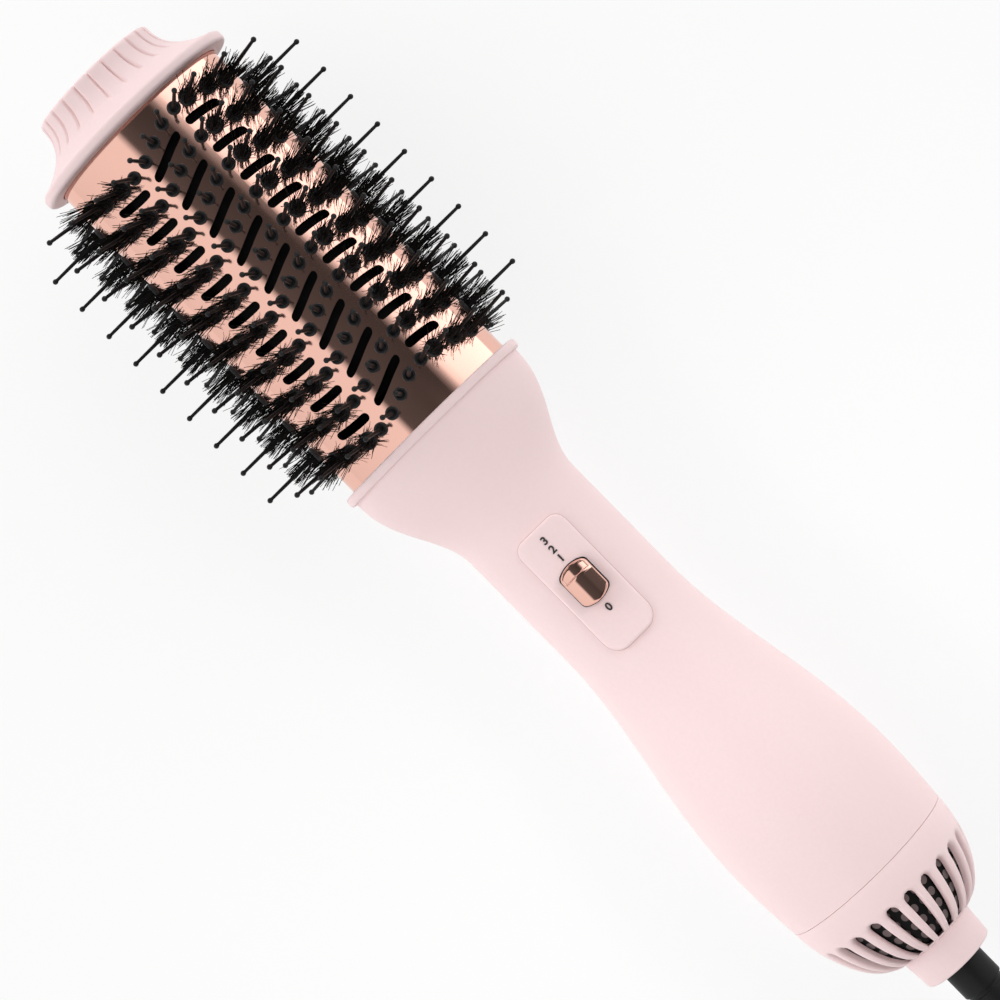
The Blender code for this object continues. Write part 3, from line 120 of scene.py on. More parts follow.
# Handle
HANDLE_START = 137.7
HANDLE_WALL = 2.2
FLANGE = (33.4, 19.9)
FLANGE_THICKNESS = 2.9
FLARE = (31.8, 19.4)
FLARE_LENGTH = 35.2
FLARE_SKEW = 1.15
NECK = (20.3, 17.9)
NECK_LENGTH = 41.0
RISE_LENGTH = 77.0
RISE_SKEW = 0.92
BELLY = (29.4, 25.9)
TAIL_LENGTH = 21.9
TAIL_DROP = 1.0
SPLIT_GAP = 0.3
EDGE_ROUND = 1.2
HANDLE_STEPS = 110
HANDLE_INNER_STEPS = 30
HALF_SIDES = 64

# Rear grille, filter, collar and strain relief
GRILLE_LENGTH = 27.4
GRILLE_WALL = 2.4
GRILLE_SLOTS = 24
GRILLE_SLOT_START = 9.6
GRILLE_SLOT_END = 26.4
GRILLE_SLOT_HALF = 4.3
GRILLE_SLOT_ROUND = 1.9
GRILLE_SLOT_LEAST = 0.35
GRILLE_SLOT_STEPS = (0.0, 0.25, 0.6, 1.1, GRILLE_SLOT_ROUND)
GRILLE_AHEAD_STEPS = (1.2, 0.8, 0.35)
GRILLE_STEPS = (5, 16, 4)
GRILLE_FADE = 1.0
GRILLE_FADE_CURVE = 3
GRILLE_RIMS = ((0.0, 1.0), (0.7, 0.35), (1.9, 0.0))
SEAM_GAP = 0.08
SEAM_EDGE = 0.12
DOME_SKEW = 1.8
FILTER_GAP = 0.5
FILTER_HOLES = 40
FILTER_HOLE_PITCH = 4.0
FILTER_HOLE_EDGE = (0.3, 0.34)
FILTER_HOLE_COLOUR = (0.19, 0.15, 0.15)
FILTER_COLOUR = (0.006, 0.006, 0.006)
FILTER_ENDS = (1.0, 2.0)
FILTER_STEPS = 24
TURNED_SIDES = 96
TURNED_ROUND = 0.6
COLLAR_RADIUS = 12.4
COLLAR_END_RADIUS = 11.6
COLLAR_LENGTH = 10.0
COLLAR_BORE = 7.0
RELIEF_RADIUS = 6.6
RELIEF_END_RADIUS = 4.6
RELIEF_LENGTH = 42.0
RELIEF_INSET = 1.0
RELIEF_GROOVES = 5
RELIEF_GROOVE_PITCH = 6.0
RELIEF_GROOVE_WIDTH = 1.4
RELIEF_GROOVE_DEPTH = 0.6

# Switch
PLATE_START = 181.2
PLATE_LENGTH = 41.7
PLATE_HALF_WIDTH = 8.5
PLATE_CORNER = 3.6
PLATE_REAR_CORNER = 5.0
PLATE_THICKNESS = 1.0
PLATE_ROUND = 0.75
# Width of the band of painted shade round the switch plate
PLATE_SHADE_BAND = 0.22
PLATE_CORNER_STEPS = (0.0, 0.03, 0.1, 0.22, 0.4, 0.65, 1.0)
PLATE_SIDE_STEPS = 6
PLATE_END_STEPS = 8
KNOB_START = 195.6
KNOB_LENGTH = 11.4
KNOB_HALF_WIDTH = 4.8
KNOB_HEIGHT = 4.4
KNOB_SLANT = 4.3
KNOB_FACE_LOW = 1.8
KNOB_BULGE = 1.6
KNOB_CORNER = 0.9
KNOB_ARC_RADIUS = 15.0
KNOB_ROUND = 0.8
KNOB_RIM = 0.45
KNOB_DISH = 0.3
KNOB_EDGE = 0.6
KNOB_FACE_STEPS = 24
KNOB_TOP_STEPS = 40
KNOB_SIDE_STEPS = 56
# The dark sheet under the knob is painted shade, a shadow line round the knob's foot
SHADE_SHEET_MARGIN = 0.3
SHADE_SHEET_LOW = 0.12
SHADE_SHEET_HEIGHT = 0.35
SHADE_SHEET_STEPS = 32
KNOB_TRAVEL = 7.0
STEM_LENGTH = 3.0
STEM_HALF_WIDTH = 2.0
STEM_CLEARANCE = 0.6
STEM_LOW = 11.7
LABELS = (("3", 185.4), ("2", 188.7), ("1", 192.0), ("0", 211.1))
PRINT_LIFT = 0.03
PRINT_DEPTH = 0.02
LABEL_SIZE = 3.3
LABEL_WEIGHT = 0.1

# Mains cord: its route from the strain relief, then a coil and the plug
CORD_DIAMETER = 7.0
CORD_ROUTE = ((14.0, 0.0, -0.9), (30.0, -2.0, -2.6), (46.0, -9.0, -5.2), (62.0, -23.0, -8.6),
              (78.0, -39.0, -11.8), (95.0, -50.0, -13.8))
CORD_STEPS = 8
CORD_ROUNDNESS = 5
CORD_CLEARANCE = 0.05
COIL_TURNS = 6.5
COIL_STEPS = 48
COIL_PITCH = 7.7
COIL_CLIMB = 0.5
COIL_INNER_RADIUS = 28.3
COIL_OFFSET = 125.0
COIL_LOW = 5.2
PLUG_TAIL = 46.0
PLUG_TAIL_STEPS = 12
PLUG_LEVEL = 7.6
PLUG_LENGTH = 36.0
PLUG_HALF = (13.0, 7.4)
PLUG_NECK_RADIUS = 4.2
PLUG_ROUND = 2.0
PLUG_SIDES = 48
PLUG_PROFILE = ((0.2, 0.4, 0.7), (0.39, 0.8, 0.9), (0.54, 1.0, 1.0), (0.97, 1.0, 1.0), (1.0, 0.92, 0.86))
FIT_GAP = 0.3
TOLERANCE = 0.01
CORNER_SHARE = 0.45

# Studio light: walls as (degrees from overhead across the brush, level), then directions along and across
# the brush between which a wall's edge slants, a wall dims and a dark flag stands
WALL_LEVELS = ((-90.0, 0.9), (-16.0, 1.0), (-12.0, 0.1), (21.0, 0.052), (25.5, 0.28), (31.0, 1.35),
               (37.0, 1.65), (60.0, 1.8), (90.0, 1.95))
SLANT_START = (-0.15, -0.04)
SLANT_END = (-0.32, -0.2)
SLANT_SIDE = (-0.18, -0.02)
SLANT_DEGREES = 12.0
END_REACH = (0.0, 0.4)
END_SIDE = (-0.1, 0.3)
END_LEVEL = 0.35
FLAG_START = (0.005, 0.022)
FLAG_END = (0.1, 0.14)
FLAG_SIDE = (0.1, 0.25)
FLAG_LEVEL = 0.12
FLOOR_COLOUR = (0.97, 0.97, 0.97)
FLOOR_WHITE = 0.82
FLOOR_HALF = 6.0
LAMP_PLACE = (-1200.0, -1300.0, 1000.0)
LAMP_SIZE = 1.2
LAMP_POWER = 11.0
SPOT_STATION = 262.0
SPOT_SIDE = 700.0
SPOT_LIFT = 700.0
SPOT_REACH = 150.0
SPOT_SIZE = 0.1
SPOT_POWERS = (7.0, 7.5)

# Materials: name, colour, roughness, grain (scale, height, changes of colour and roughness), then metal and
# specular level. Those called like a slot of the record also go on the solids that show as they are
MATERIAL_VALUES = {
    "pink": ("pale_pink_plastic", (0.93, 0.722, 0.722), 0.5, (900.0, 0.12, 0.02, 0.05)),
    "rose": ("rose_gold", (0.90, 0.53, 0.435), 0.07, (60.0, 0.0, 0.03, 0.015), 1.0),
    # The barrel's inside and the walls of its slots are near black as painted shade, for the dark seen
    # through the slots
    "bore": ("barrel_inside", (0.008, 0.007, 0.007), 0.7, (), 0.0, 0.1),
    "pin": ("black_nylon", (0.012, 0.012, 0.013), 0.42, (1500.0, 0.1, 0.2), 0.0, 0.25),
    "base": ("bristle_base", (0.03, 0.03, 0.032), 0.4, (1500.0, 0.1, 0.2), 0.0, 0.35),
    "hair": ("tuft_fibre", (0.013, 0.012, 0.011), 0.55, (700.0, 0.0, 0.4), 0.0, 0.15),
    "filter": ("filter_mesh", FILTER_COLOUR, 0.6, (), 0.0, 0.15),
    # The plate gap band is painted shade: a darker pink for the shadow round the switch plate
    "gap": ("plate_gap", (0.72, 0.545, 0.55), 0.8, (), 0.0, 0.1),
    "ink": ("label_ink", (0.035, 0.03, 0.03), 0.6, ()),
    "black_rubber": ("black_rubber", (0.009, 0.009, 0.01), 0.5, (1200.0, 0.2, 0.2), 0.0, 0.22),
    "black_plastic": ("black_plastic", (0.012, 0.012, 0.012), 0.6, (900.0, 0.1), 0.0, 0.2),
    "steel": ("plain_steel", (0.6, 0.6, 0.62), 0.3, (400.0, 0.05, 0.1, 0.05), 1.0),
    "mica": ("mica_sheet", (0.75, 0.68, 0.52), 0.6, (300.0, 0.1, 0.1)),
    "pale_nylon": ("pale_nylon", (0.82, 0.82, 0.8), 0.5, (900.0, 0.1, 0.03)),
    "circuit_board": ("circuit_board", (0.05, 0.25, 0.12), 0.5, (700.0, 0.05, 0.2)),
    "ferrite": ("ferrite", (0.08, 0.08, 0.09), 0.6, (900.0, 0.2, 0.1)),
}
GRAIN_DETAIL = 6.0
GRAIN_HEIGHT = 0.0002
GRAIN_STOPS = (0.3, 0.7)

# Stations and sizes that follow from those above
FLARE_START = HANDLE_START + FLANGE_THICKNESS
NECK_START = FLARE_START + FLARE_LENGTH
RISE_START = NECK_START + NECK_LENGTH
BELLY_STATION = RISE_START + RISE_LENGTH
SEAM_STATION = BELLY_STATION + TAIL_LENGTH
GRILLE_END = SEAM_STATION + GRILLE_LENGTH
COLLAR_END = GRILLE_END + FIT_GAP + COLLAR_LENGTH
RELIEF_END = COLLAR_END + RELIEF_LENGTH
CORD_LEAD = Vector((CORD_DIAMETER, 0.0, 0.0))
PLATE_END = PLATE_START + PLATE_LENGTH
PLATE_TOP = NECK[1] + FIT_GAP + PLATE_THICKNESS
STEM_END = KNOB_START + KNOB_LENGTH - STEM_CLEARANCE
STEM_START = STEM_END - STEM_LENGTH

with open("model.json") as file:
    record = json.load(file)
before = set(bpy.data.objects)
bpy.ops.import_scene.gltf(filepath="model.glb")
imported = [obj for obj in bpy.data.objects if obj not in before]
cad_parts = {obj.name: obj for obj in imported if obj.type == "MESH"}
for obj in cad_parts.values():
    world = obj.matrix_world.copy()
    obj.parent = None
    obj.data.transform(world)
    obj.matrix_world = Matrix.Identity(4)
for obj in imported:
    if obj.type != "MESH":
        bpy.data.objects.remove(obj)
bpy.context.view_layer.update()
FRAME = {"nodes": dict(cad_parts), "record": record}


def axis_matrix():
    """The brush's own axis in the frame, from the flat face on its nose."""
    mount = FRAME["record"]["mounts"][0]
    along = -Vector(mount["axis"]).normalized()
    across = Vector((0.0, 1.0, 0.0))
    matrix = Matrix((along, across, along.cross(across))).transposed().to_4x4()
    matrix.translation = Vector(mount["pos_m"])
    return matrix


AXIS = axis_matrix()


def to_frame(point):
    """A point on the brush's own axes, in millimetres, as a place in the frame."""
    return AXIS @ (Vector(point) * MM)


def new_mesh(name, places, faces):
    mesh = bpy.data.meshes.new(name)
    mesh.from_pydata(places, [], faces)
    return mesh


def add_object(name, data):
    item = bpy.data.objects.new(name, data)
    bpy.context.scene.collection.objects.link(item)
    return item


def add_node(tree, kind, *sources, **values):
    """A shader node with its settings, and links from sources into its first inputs."""
    node = tree.nodes.new("ShaderNode" + kind)
    for key, value in values.items():
        if hasattr(node, key):
            setattr(node, key, value)
        else:
            node.inputs[key.replace("_", " ").title()].default_value = value
    for source, socket in zip(sources, node.inputs):
        tree.links.new(source, socket)
    return node


def add_ramp(tree, source, stops):
    """The colour that a ramp of (position, colour) stops gives for a source."""
    ramp = add_node(tree, "ValToRGB", source)
    elements = ramp.color_ramp.elements
    for number, (position, colour) in enumerate(stops):
        element = elements[number] if number < 2 else elements.new(position)
        element.position = position
        element.color = (*colour, 1.0)
    return ramp.outputs["Color"]


def new_material(name, colour, roughness, metallic=0.0, specular=0.5):
    material = bpy.data.materials.new(name)
    material.use_nodes = True
    shader = material.node_tree.nodes["Principled BSDF"]
    shader.inputs["Base Color"].default_value = (*colour, 1.0)
    shader.inputs["Roughness"].default_value = roughness
    shader.inputs["Metallic"].default_value = metallic
    shader.inputs["Specular IOR Level"].default_value = specular
    return material


def add_grain(material, scale, bump, colour_change=0.0, roughness_change=0.0):
    """Fine noise in a material's height, and a little in its colour and roughness."""
    tree = material.node_tree
    shader = tree.nodes["Principled BSDF"]
    place = add_node(tree, "TexCoord")
    noise = add_node(tree, "TexNoise", place.outputs["Object"], scale=scale, detail=GRAIN_DETAIL)
    grain = noise.outputs["Fac"]
    if bump:
        height = add_node(tree, "Bump", strength=bump, distance=GRAIN_HEIGHT)
        tree.links.new(grain, height.inputs["Height"])
        tree.links.new(height.outputs["Normal"], shader.inputs["Normal"])
    if colour_change:
        base = shader.inputs["Base Color"].default_value[:3]
        darker = [part * (1 - colour_change) for part in base]
        tree.links.new(add_ramp(tree, grain, zip(GRAIN_STOPS, (darker, base))), shader.inputs["Base Color"])
    if roughness_change:
        middle = shader.inputs["Roughness"].default_value
        change = add_node(tree, "MapRange", grain, to_min=middle - roughness_change,
                          to_max=middle + roughness_change)
        tree.links.new(change.outputs["Result"], shader.inputs["Roughness"])


def add_holes(material):
    """Rows of paler round holes, read from a piece's own map of turns and stations."""
    tree = material.node_tree
    place = add_node(tree, "UVMap")
    cell = add_node(tree, "VectorMath", place.outputs["UV"], operation="FRACTION")
    centred = add_node(tree, "VectorMath", cell.outputs["Vector"], operation="SUBTRACT")
    centred.inputs[1].default_value = (0.5, 0.5, 0.0)
    size = add_node(tree, "VectorMath", centred.outputs["Vector"], operation="LENGTH")
    stops = zip(FILTER_HOLE_EDGE, (FILTER_HOLE_COLOUR, FILTER_COLOUR))
    colour = add_ramp(tree, size.outputs["Value"], stops)
    tree.links.new(colour, tree.nodes["Principled BSDF"].inputs["Base Color"])


def make_materials():
    materials = {}
    for key, (name, colour, roughness, grain, *others) in MATERIAL_VALUES.items():
        materials[key] = new_material(name, colour, roughness, *others)
        if grain:
            add_grain(materials[key], *grain)
    add_holes(materials["filter"])
    return materials


MATERIALS = make_materials()


def make_piece(name, points, faces, material, stands_for=(), slot=None, body="brush", local=True, sharp=35.0):
    """A smooth mesh from points in millimetres that moves with a body and stands for CAD nodes."""
    places = [to_frame(point) if local else Vector(point) * MM for point in points]
    mesh = new_mesh(name, places, faces)
    work = bmesh.new()
    work.from_mesh(mesh)
    bmesh.ops.recalc_face_normals(work, faces=work.faces)
    work.to_mesh(mesh)
    work.free()
    mesh.shade_smooth()
    mesh.set_sharp_from_angle(angle=math.radians(sharp))
    mesh.materials.append(MATERIALS[material])
    piece = add_object(name, mesh)
    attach(piece, body)
    if stands_for:
        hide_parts(*stands_for)
    return piece


def oval(station, half_width, half_depth, count):
    turns = [math.tau * step / count for step in range(count)]
    return [(station, half_width * math.sin(turn), half_depth * math.cos(turn)) for turn in turns]


def oval_point(station, half, angle):
    """A point on an oval of two half sizes, at an angle in degrees from its crest."""
    turn = math.radians(angle)
    return Vector((station, half[0] * math.sin(turn), half[1] * math.cos(turn)))


def skin(rings, loop=False):
    """Quads between neighbouring rings, closed on themselves or by a cap at each end."""
    side_count = len(rings[0])
    points = [point for ring in rings for point in ring]
    faces = []
    for ring in range(len(rings) if loop else len(rings) - 1):
        here = ring * side_count
        there = ((ring + 1) % len(rings)) * side_count
        for side in range(side_count):
            after = (side + 1) % side_count
            faces.append((here + side, here + after, there + after, there + side))
    if not loop:
        faces.append(tuple(range(side_count)))
        faces.append(tuple(range(len(points) - side_count, len(points))))
    return points, faces


def spread(start, end, count):
    return [start + (end - start) * step / count for step in range(count + 1)]


def bunched(start, end, count):
    """Steps between shares of a quarter turn, as sines, so that they draw closer towards 1 and -1."""
    return [math.sin(0.5 * math.pi * share) for share in spread(start, end, count)]


def quarter(radius, steps):
    """How far a quarter round lies from its two sides at each step."""
    turns = spread(0.0, 0.5 * math.pi, steps)
    return [(radius * (1 - math.sin(turn)), radius * (1 - math.cos(turn))) for turn in turns]


def grown(half, amount):
    """Both halves of an oval's size, changed by the same amount."""
    return tuple(part + amount for part in half)


def clamp(value):
    return min(1.0, max(0.0, value))


def fillet(line, radius, steps=5):
    """A line of points with its inner corners rounded."""
    line = [Vector(point) for point in line]
    rounded = [line[0]]
    for before, corner, after in zip(line, line[1:], line[2:]):
        back = before - corner
        on = after - corner
        start = corner + back.normalized() * min(radius, back.length * CORNER_SHARE)
        end = corner + on.normalized() * min(radius, on.length * CORNER_SHARE)
        for step in range(steps + 1):
            t = step / steps
            rounded.append(start * (1 - t) ** 2 + corner * (2 * t * (1 - t)) + end * t ** 2)
    return rounded + [line[-1]]


def grid_solid(front, back, keep=None, wrap=False):
    """A plate between two grids of points, with all cells or those that keep() wants, and its inner faces."""
    rows = len(front)
    columns = len(front[0])
    points = []
    index = {}
    faces = []
    inner = set()

    def vertex(grid, row, column):
        key = (grid is front, row % rows, column)
        if key not in index:
            index[key] = len(points)
            points.append(grid[row % rows][column])
        return index[key]

    every = [(row, column) for row in range(rows if wrap else rows - 1) for column in range(columns - 1)]
    cells = [cell for cell in every if keep is None or keep(*cell)]
    kept = set(cells)
    for row, column in cells:
        corners = ((row, column), (row, column + 1), (row + 1, column + 1), (row + 1, column))
        near = [vertex(front, *corner) for corner in corners]
        far = [vertex(back, *corner) for corner in corners]
        faces.append(tuple(near))
        inner.add(len(faces))
        faces.append(tuple(reversed(far)))
        neighbours = ((row - 1, column), (row, column + 1), (row + 1, column), (row, column - 1))
        for side, (next_row, next_column) in enumerate(neighbours):
            if (next_row % rows, next_column) not in kept:
                after = (side + 1) % 4
                inner.add(len(faces))
                faces.append((near[after], near[side], far[side], far[after]))
    return points, faces, inner


def ease(share):
    return 0.5 - 0.5 * math.cos(math.pi * share)


def between(first, second, share):
    return tuple(a + (b - a) * share for a, b in zip(first, second))


def handle_oval(station):
    """Half width and half depth of the handle's outside, from its flare to its seam."""
    if station <= NECK_START:
        share = max(0.0, (station - FLARE_START) / FLARE_LENGTH)
        return between(FLARE, NECK, ease(share ** FLARE_SKEW))
    if station <= BELLY_STATION:
        share = max(0.0, (station - RISE_START) / RISE_LENGTH)
        return between(NECK, BELLY, ease(share ** RISE_SKEW))
    drop = TAIL_DROP * ((station - BELLY_STATION) / TAIL_LENGTH) ** 2
    return grown(BELLY, -drop)


def dome_oval(station, inset=0.0):
    """Half width and half depth of the rear grille, round where it meets the collar."""
    share = clamp((station - SEAM_STATION) / GRILLE_LENGTH)
    rise = math.sqrt(max(0.0, 1.0 - share ** DOME_SKEW))
    seam = handle_oval(SEAM_STATION)
    return tuple(COLLAR_RADIUS + (half - COLLAR_RADIUS) * rise - inset for half in seam)


def barrel_point(station, angle, offset=0.0):
    return oval_point(station, grown(BARREL, offset), angle)


def barrel_normal(angle):
    turn = math.radians(angle)
    return Vector((0.0, math.sin(turn) / BARREL[0], math.cos(turn) / BARREL[1])).normalized()


def fold(angle):
    """An angle counted from the nearer crest of the barrel, on its front or its back."""
    return (angle + 90.0) % 180.0 - 90.0


def column_sway(angle):
    """How far a column of bristles and slots leans along the barrel at an angle from its crest."""
    folded = fold(angle)
    size = abs(folded)
    if size >= SWAY_END:
        return 0.0
    if size <= SWAY_CREST:
        share = math.sin(0.5 * math.pi * size / SWAY_CREST)
    else:
        share = math.cos(0.5 * math.pi * (size - SWAY_CREST) / (SWAY_END - SWAY_CREST))
    return math.copysign(COLUMN_SWAY * share, -folded)


def make_camera():
    place = to_frame(CAMERA_PLACE)
    target = to_frame(VIEW_MIDDLE)
    turn = math.radians(PICTURE_TURN)
    up = AXIS.to_3x3() @ Vector((-math.sin(turn), math.cos(turn), 0.0))
    back = (place - target).normalized()
    right = up.cross(back).normalized()
    data = bpy.data.cameras.new("camera")
    data.sensor_width = SENSOR
    data.lens = SENSOR * (place - target).length / (PICTURE_WIDTH * MM)
    data.clip_start, data.clip_end = CLIP
    camera = add_object("camera", data)
    matrix = Matrix((right, back.cross(right), back)).transposed().to_4x4()
    matrix.translation = place
    camera.matrix_world = matrix
    bpy.context.scene.camera = camera


def make_world():
    """Two soft walls of light, one with a slanted edge and a dim end, a dark gap overhead and a dark flag."""
    world = bpy.data.worlds.new("studio")
    bpy.context.scene.world = world
    world.use_nodes = True
    tree = world.node_tree
    tree.nodes.clear()

    def step(source, span):
        """A smooth rise from 0 to 1 over a span of values."""
        rise = add_node(tree, "MapRange", source, interpolation_type="SMOOTHSTEP", from_min=span[0],
                        from_max=span[1])
        return rise.outputs["Result"]

    def combine(operation, first, second):
        return add_node(tree, "Math", first, second, operation=operation).outputs["Value"]

    place = add_node(tree, "TexCoord")
    along, across, up = add_node(tree, "SeparateXYZ", place.outputs["Generated"]).outputs
    slant = add_node(tree, "MapRange", along, from_min=SLANT_START[0], from_max=SLANT_START[1],
                     to_min=math.radians(SLANT_DEGREES), to_max=0.0).outputs["Result"]
    slant = combine("MULTIPLY", slant, step(along, SLANT_END))
    slant = combine("MULTIPLY", slant, step(across, SLANT_SIDE))
    angle = combine("ADD", combine("ARCTAN2", across, up), slant)
    share = add_node(tree, "MapRange", angle, from_min=-0.5 * math.pi, from_max=0.5 * math.pi)
    stops = [(degrees / 180.0 + 0.5, (level, level, level)) for degrees, level in WALL_LEVELS]
    walls = add_ramp(tree, share.outputs["Result"], stops)
    flag = combine("SUBTRACT", step(along, FLAG_START), step(along, FLAG_END))
    flag = combine("MULTIPLY", flag, step(across, FLAG_SIDE))
    flagged = add_node(tree, "Mix", flag, data_type="RGBA")
    flagged.inputs["B"].default_value = (FLAG_LEVEL, FLAG_LEVEL, FLAG_LEVEL, 1.0)
    tree.links.new(walls, flagged.inputs["A"])
    end = combine("MULTIPLY", step(along, END_REACH), step(across, END_SIDE))
    strength = add_node(tree, "MapRange", end, to_min=1.0, to_max=END_LEVEL)
    light = add_node(tree, "Background", flagged.outputs["Result"], strength.outputs["Result"])
    seen = add_node(tree, "Background")
    seen.inputs["Color"].default_value = (1.0, 1.0, 1.0, 1.0)
    rays = add_node(tree, "LightPath").outputs
    mix = add_node(tree, "MixShader", rays["Is Camera Ray"], light.outputs["Background"],
                   seen.outputs["Background"])
    add_node(tree, "OutputWorld", mix.outputs["Shader"])


def hang_lamp(data, place, target):
    """Hang a lamp in the brush's own axes, aimed at a point and left out of mirror reflections."""
    lamp = add_object(data.name, data)
    lamp.location = to_frame(place)
    lamp.rotation_euler = (lamp.location - to_frame(target)).to_track_quat("Z", "Y").to_euler()
    lamp.visible_camera = False
    lamp.visible_glossy = False


def make_lamps():
    """A broad soft lamp over the nose on one side, and a soft spot on each side of the handle."""
    broad = bpy.data.lights.new("soft_lamp", "AREA")
    broad.size = LAMP_SIZE
    broad.energy = LAMP_POWER
    hang_lamp(broad, LAMP_PLACE, (0.0, 0.0, 0.0))
    for side, power in zip((-SPOT_SIDE, SPOT_SIDE), SPOT_POWERS):
        beam = bpy.data.lights.new("handle_spot", "SPOT")
        beam.spot_size = 2 * math.atan(SPOT_REACH / math.hypot(SPOT_SIDE, SPOT_LIFT))
        beam.spot_blend = 1.0
        beam.shadow_soft_size = SPOT_SIZE
        beam.energy = power
        hang_lamp(beam, (SPOT_STATION, side, SPOT_LIFT), (SPOT_STATION, 0.0, 0.0))


def make_stage():
    """A pale floor that looks nearly white to the camera and in reflections, and keeps a soft shadow."""
    material = new_material("floor", FLOOR_COLOUR, 0.9, 0.0, 0.1)
    tree = material.node_tree
    rays = add_node(tree, "LightPath").outputs
    seen = add_node(tree, "Math", rays["Is Camera Ray"], rays["Is Glossy Ray"], operation="MAXIMUM")
    through = add_node(tree, "Math", seen.outputs["Value"], rays["Is Transmission Ray"], operation="MAXIMUM")
    share = add_node(tree, "Math", through.outputs["Value"], operation="MULTIPLY")
    share.inputs[1].default_value = FLOOR_WHITE
    white = add_node(tree, "Emission")
    mix = add_node(tree, "MixShader", share.outputs["Value"], tree.nodes["Principled BSDF"].outputs["BSDF"],
                   white.outputs["Emission"])
    tree.links.new(mix.outputs["Shader"], tree.nodes["Material Output"].inputs["Surface"])
    corners = [(x * FLOOR_HALF, y * FLOOR_HALF, 0.0) for x, y in ((-1, -1), (1, -1), (1, 1), (-1, 1))]
    mesh = new_mesh("floor", corners, [(0, 1, 2, 3)])
    mesh.materials.append(material)
    floor = add_object("floor", mesh)


def smooth_route(points, steps):
    """Points read from a smooth curve through a route's own points."""
    padded = [points[0] * 2 - points[1]] + points + [points[-1] * 2 - points[-2]]
    route = []
    for a, b, c, d in zip(padded, padded[1:], padded[2:], padded[3:]):
        for step in range(steps):
            t = step / steps
            route.append(0.5 * (2 * b + (c - a) * t + (2 * a - 5 * b + 4 * c - d) * t ** 2
                                + (3 * b - a - 3 * c + d) * t ** 3))
    route.append(points[-1].copy())
    return route


def coil_route(centre):
    """Loops on two layers, with a climb where the spiral reverses, and a tail to the plug."""
    route = []
    for step in range(round(COIL_TURNS * COIL_STEPS) + 1):
        turns = step / COIL_STEPS
        climb = clamp((turns - COIL_TURNS / 2 + COIL_CLIMB / 2) / COIL_CLIMB)
        turn = math.tau * (turns - 0.25)
        radius = COIL_INNER_RADIUS + COIL_PITCH * abs(turns - COIL_TURNS / 2)
        height = COIL_LOW + COIL_PITCH * ease(climb)
        route.append(centre + Vector((radius * math.cos(turn), radius * math.sin(turn), height)))
    drop = route[-1].z - PLUG_LEVEL
    tail = []
    for step in range(1, PLUG_TAIL_STEPS + 1):
        share = step / PLUG_TAIL_STEPS
        tail.append(route[-1] + Vector((-PLUG_TAIL * share, 0.0, -drop * ease(share))))
    tail.append(tail[-1] - CORD_LEAD)
    return [route[0] - CORD_LEAD] + route + tail


def make_cord(boot):
    exit_point = to_frame((RELIEF_END, 0.0, 0.0)) / MM
    coil = coil_route(Vector((exit_point.x + COIL_OFFSET, 0.0, 0.0)))
    points = [exit_point] + [exit_point + Vector(step) for step in CORD_ROUTE]
    points += [coil[0] - CORD_LEAD, coil[0]]
    route = smooth_route(points, CORD_STEPS) + coil[1:]
    curve = bpy.data.curves.new("mains_cord", "CURVE")
    curve.dimensions = "3D"
    curve.bevel_depth = CORD_DIAMETER / 2 * MM
    curve.bevel_resolution = CORD_ROUNDNESS
    curve.use_fill_caps = True
    spline = curve.splines.new("POLY")
    spline.points.add(len(route) - 1)
    for point, place in zip(spline.points, route):
        point.co = (*(place * MM), 1.0)
    spline.use_smooth = True
    curve.materials.append(MATERIALS["black_rubber"])
    cord = add_object("mains_cord", curve)
    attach(cord, "brush")
    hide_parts("cord_run", "cord_coil")
    plug = make_plug(coil[-1])


def make_plug(start):
    line = [(0.0, PLUG_NECK_RADIUS, PLUG_NECK_RADIUS)]
    for along, width, height in PLUG_PROFILE:
        line.append((PLUG_LENGTH * along, PLUG_HALF[0] * width, PLUG_HALF[1] * height))
    rings = []
    for along, width, height in fillet(line, PLUG_ROUND):
        ring = oval(start.x - along, width, height, PLUG_SIDES)
        rings.append([(x, y + start.y, z + start.z) for x, y, z in ring])
    return make_piece("plug_shell", *skin(rings), "black_rubber", ("plug_body",), "black_rubber", local=False)


def make_nose():
    """A fluted trumpet with a rounded front and rim, closed behind by its socket for the barrel."""
    flange = grown(BARREL, NOSE_OVERHANG)
    rim_start = NOSE_LENGTH - NOSE_RIM
    turns = [FLUTE_PITCH * flute + step for flute in range(FLUTES) for step in FLUTE_STEPS]

    def dent(angle, station):
        off = (angle + FLUTE_PITCH / 2) % FLUTE_PITCH - FLUTE_PITCH / 2
        across = max(0.0, 1.0 - abs(off) / FLUTE_HALF_ANGLE)
        along = clamp((FLUTE_END - station) / FLUTE_FADE)
        return FLUTE_DEPTH * ease(across) * ease(along)

    def ring(station, half):
        return [oval_point(station, grown(half, -dent(angle, station)), angle) for angle in turns]

    def trumpet(station):
        return between(NOSE_FRONT, grown(flange, -NOSE_LIP), (station / rim_start) ** NOSE_CURVE)

    rings = [ring(back, grown(NOSE_FRONT, -inset)) for inset, back in quarter(NOSE_EDGE, NOSE_EDGE_STEPS)]
    rings += [ring(station, trumpet(station)) for station in spread(NOSE_EDGE, rim_start, NOSE_STEPS)[1:]]
    for inset, back in quarter(NOSE_LIP, NOSE_LIP_STEPS)[1:]:
        rings.append(ring(rim_start + back, grown(flange, -inset)))
    for back, inset in quarter(NOSE_EDGE, NOSE_RIM_STEPS):
        rings.append(ring(NOSE_LENGTH - back, grown(flange, -inset)))
    socket = grown(BARREL, FIT_GAP)
    rings += [ring(NOSE_LENGTH, socket), ring(NOSE_LENGTH - NOSE_SOCKET, socket)]
    make_piece("nose_cap_shell", *skin(rings), "pink", ("nose_cap",), "pink_plastic", sharp=50.0)


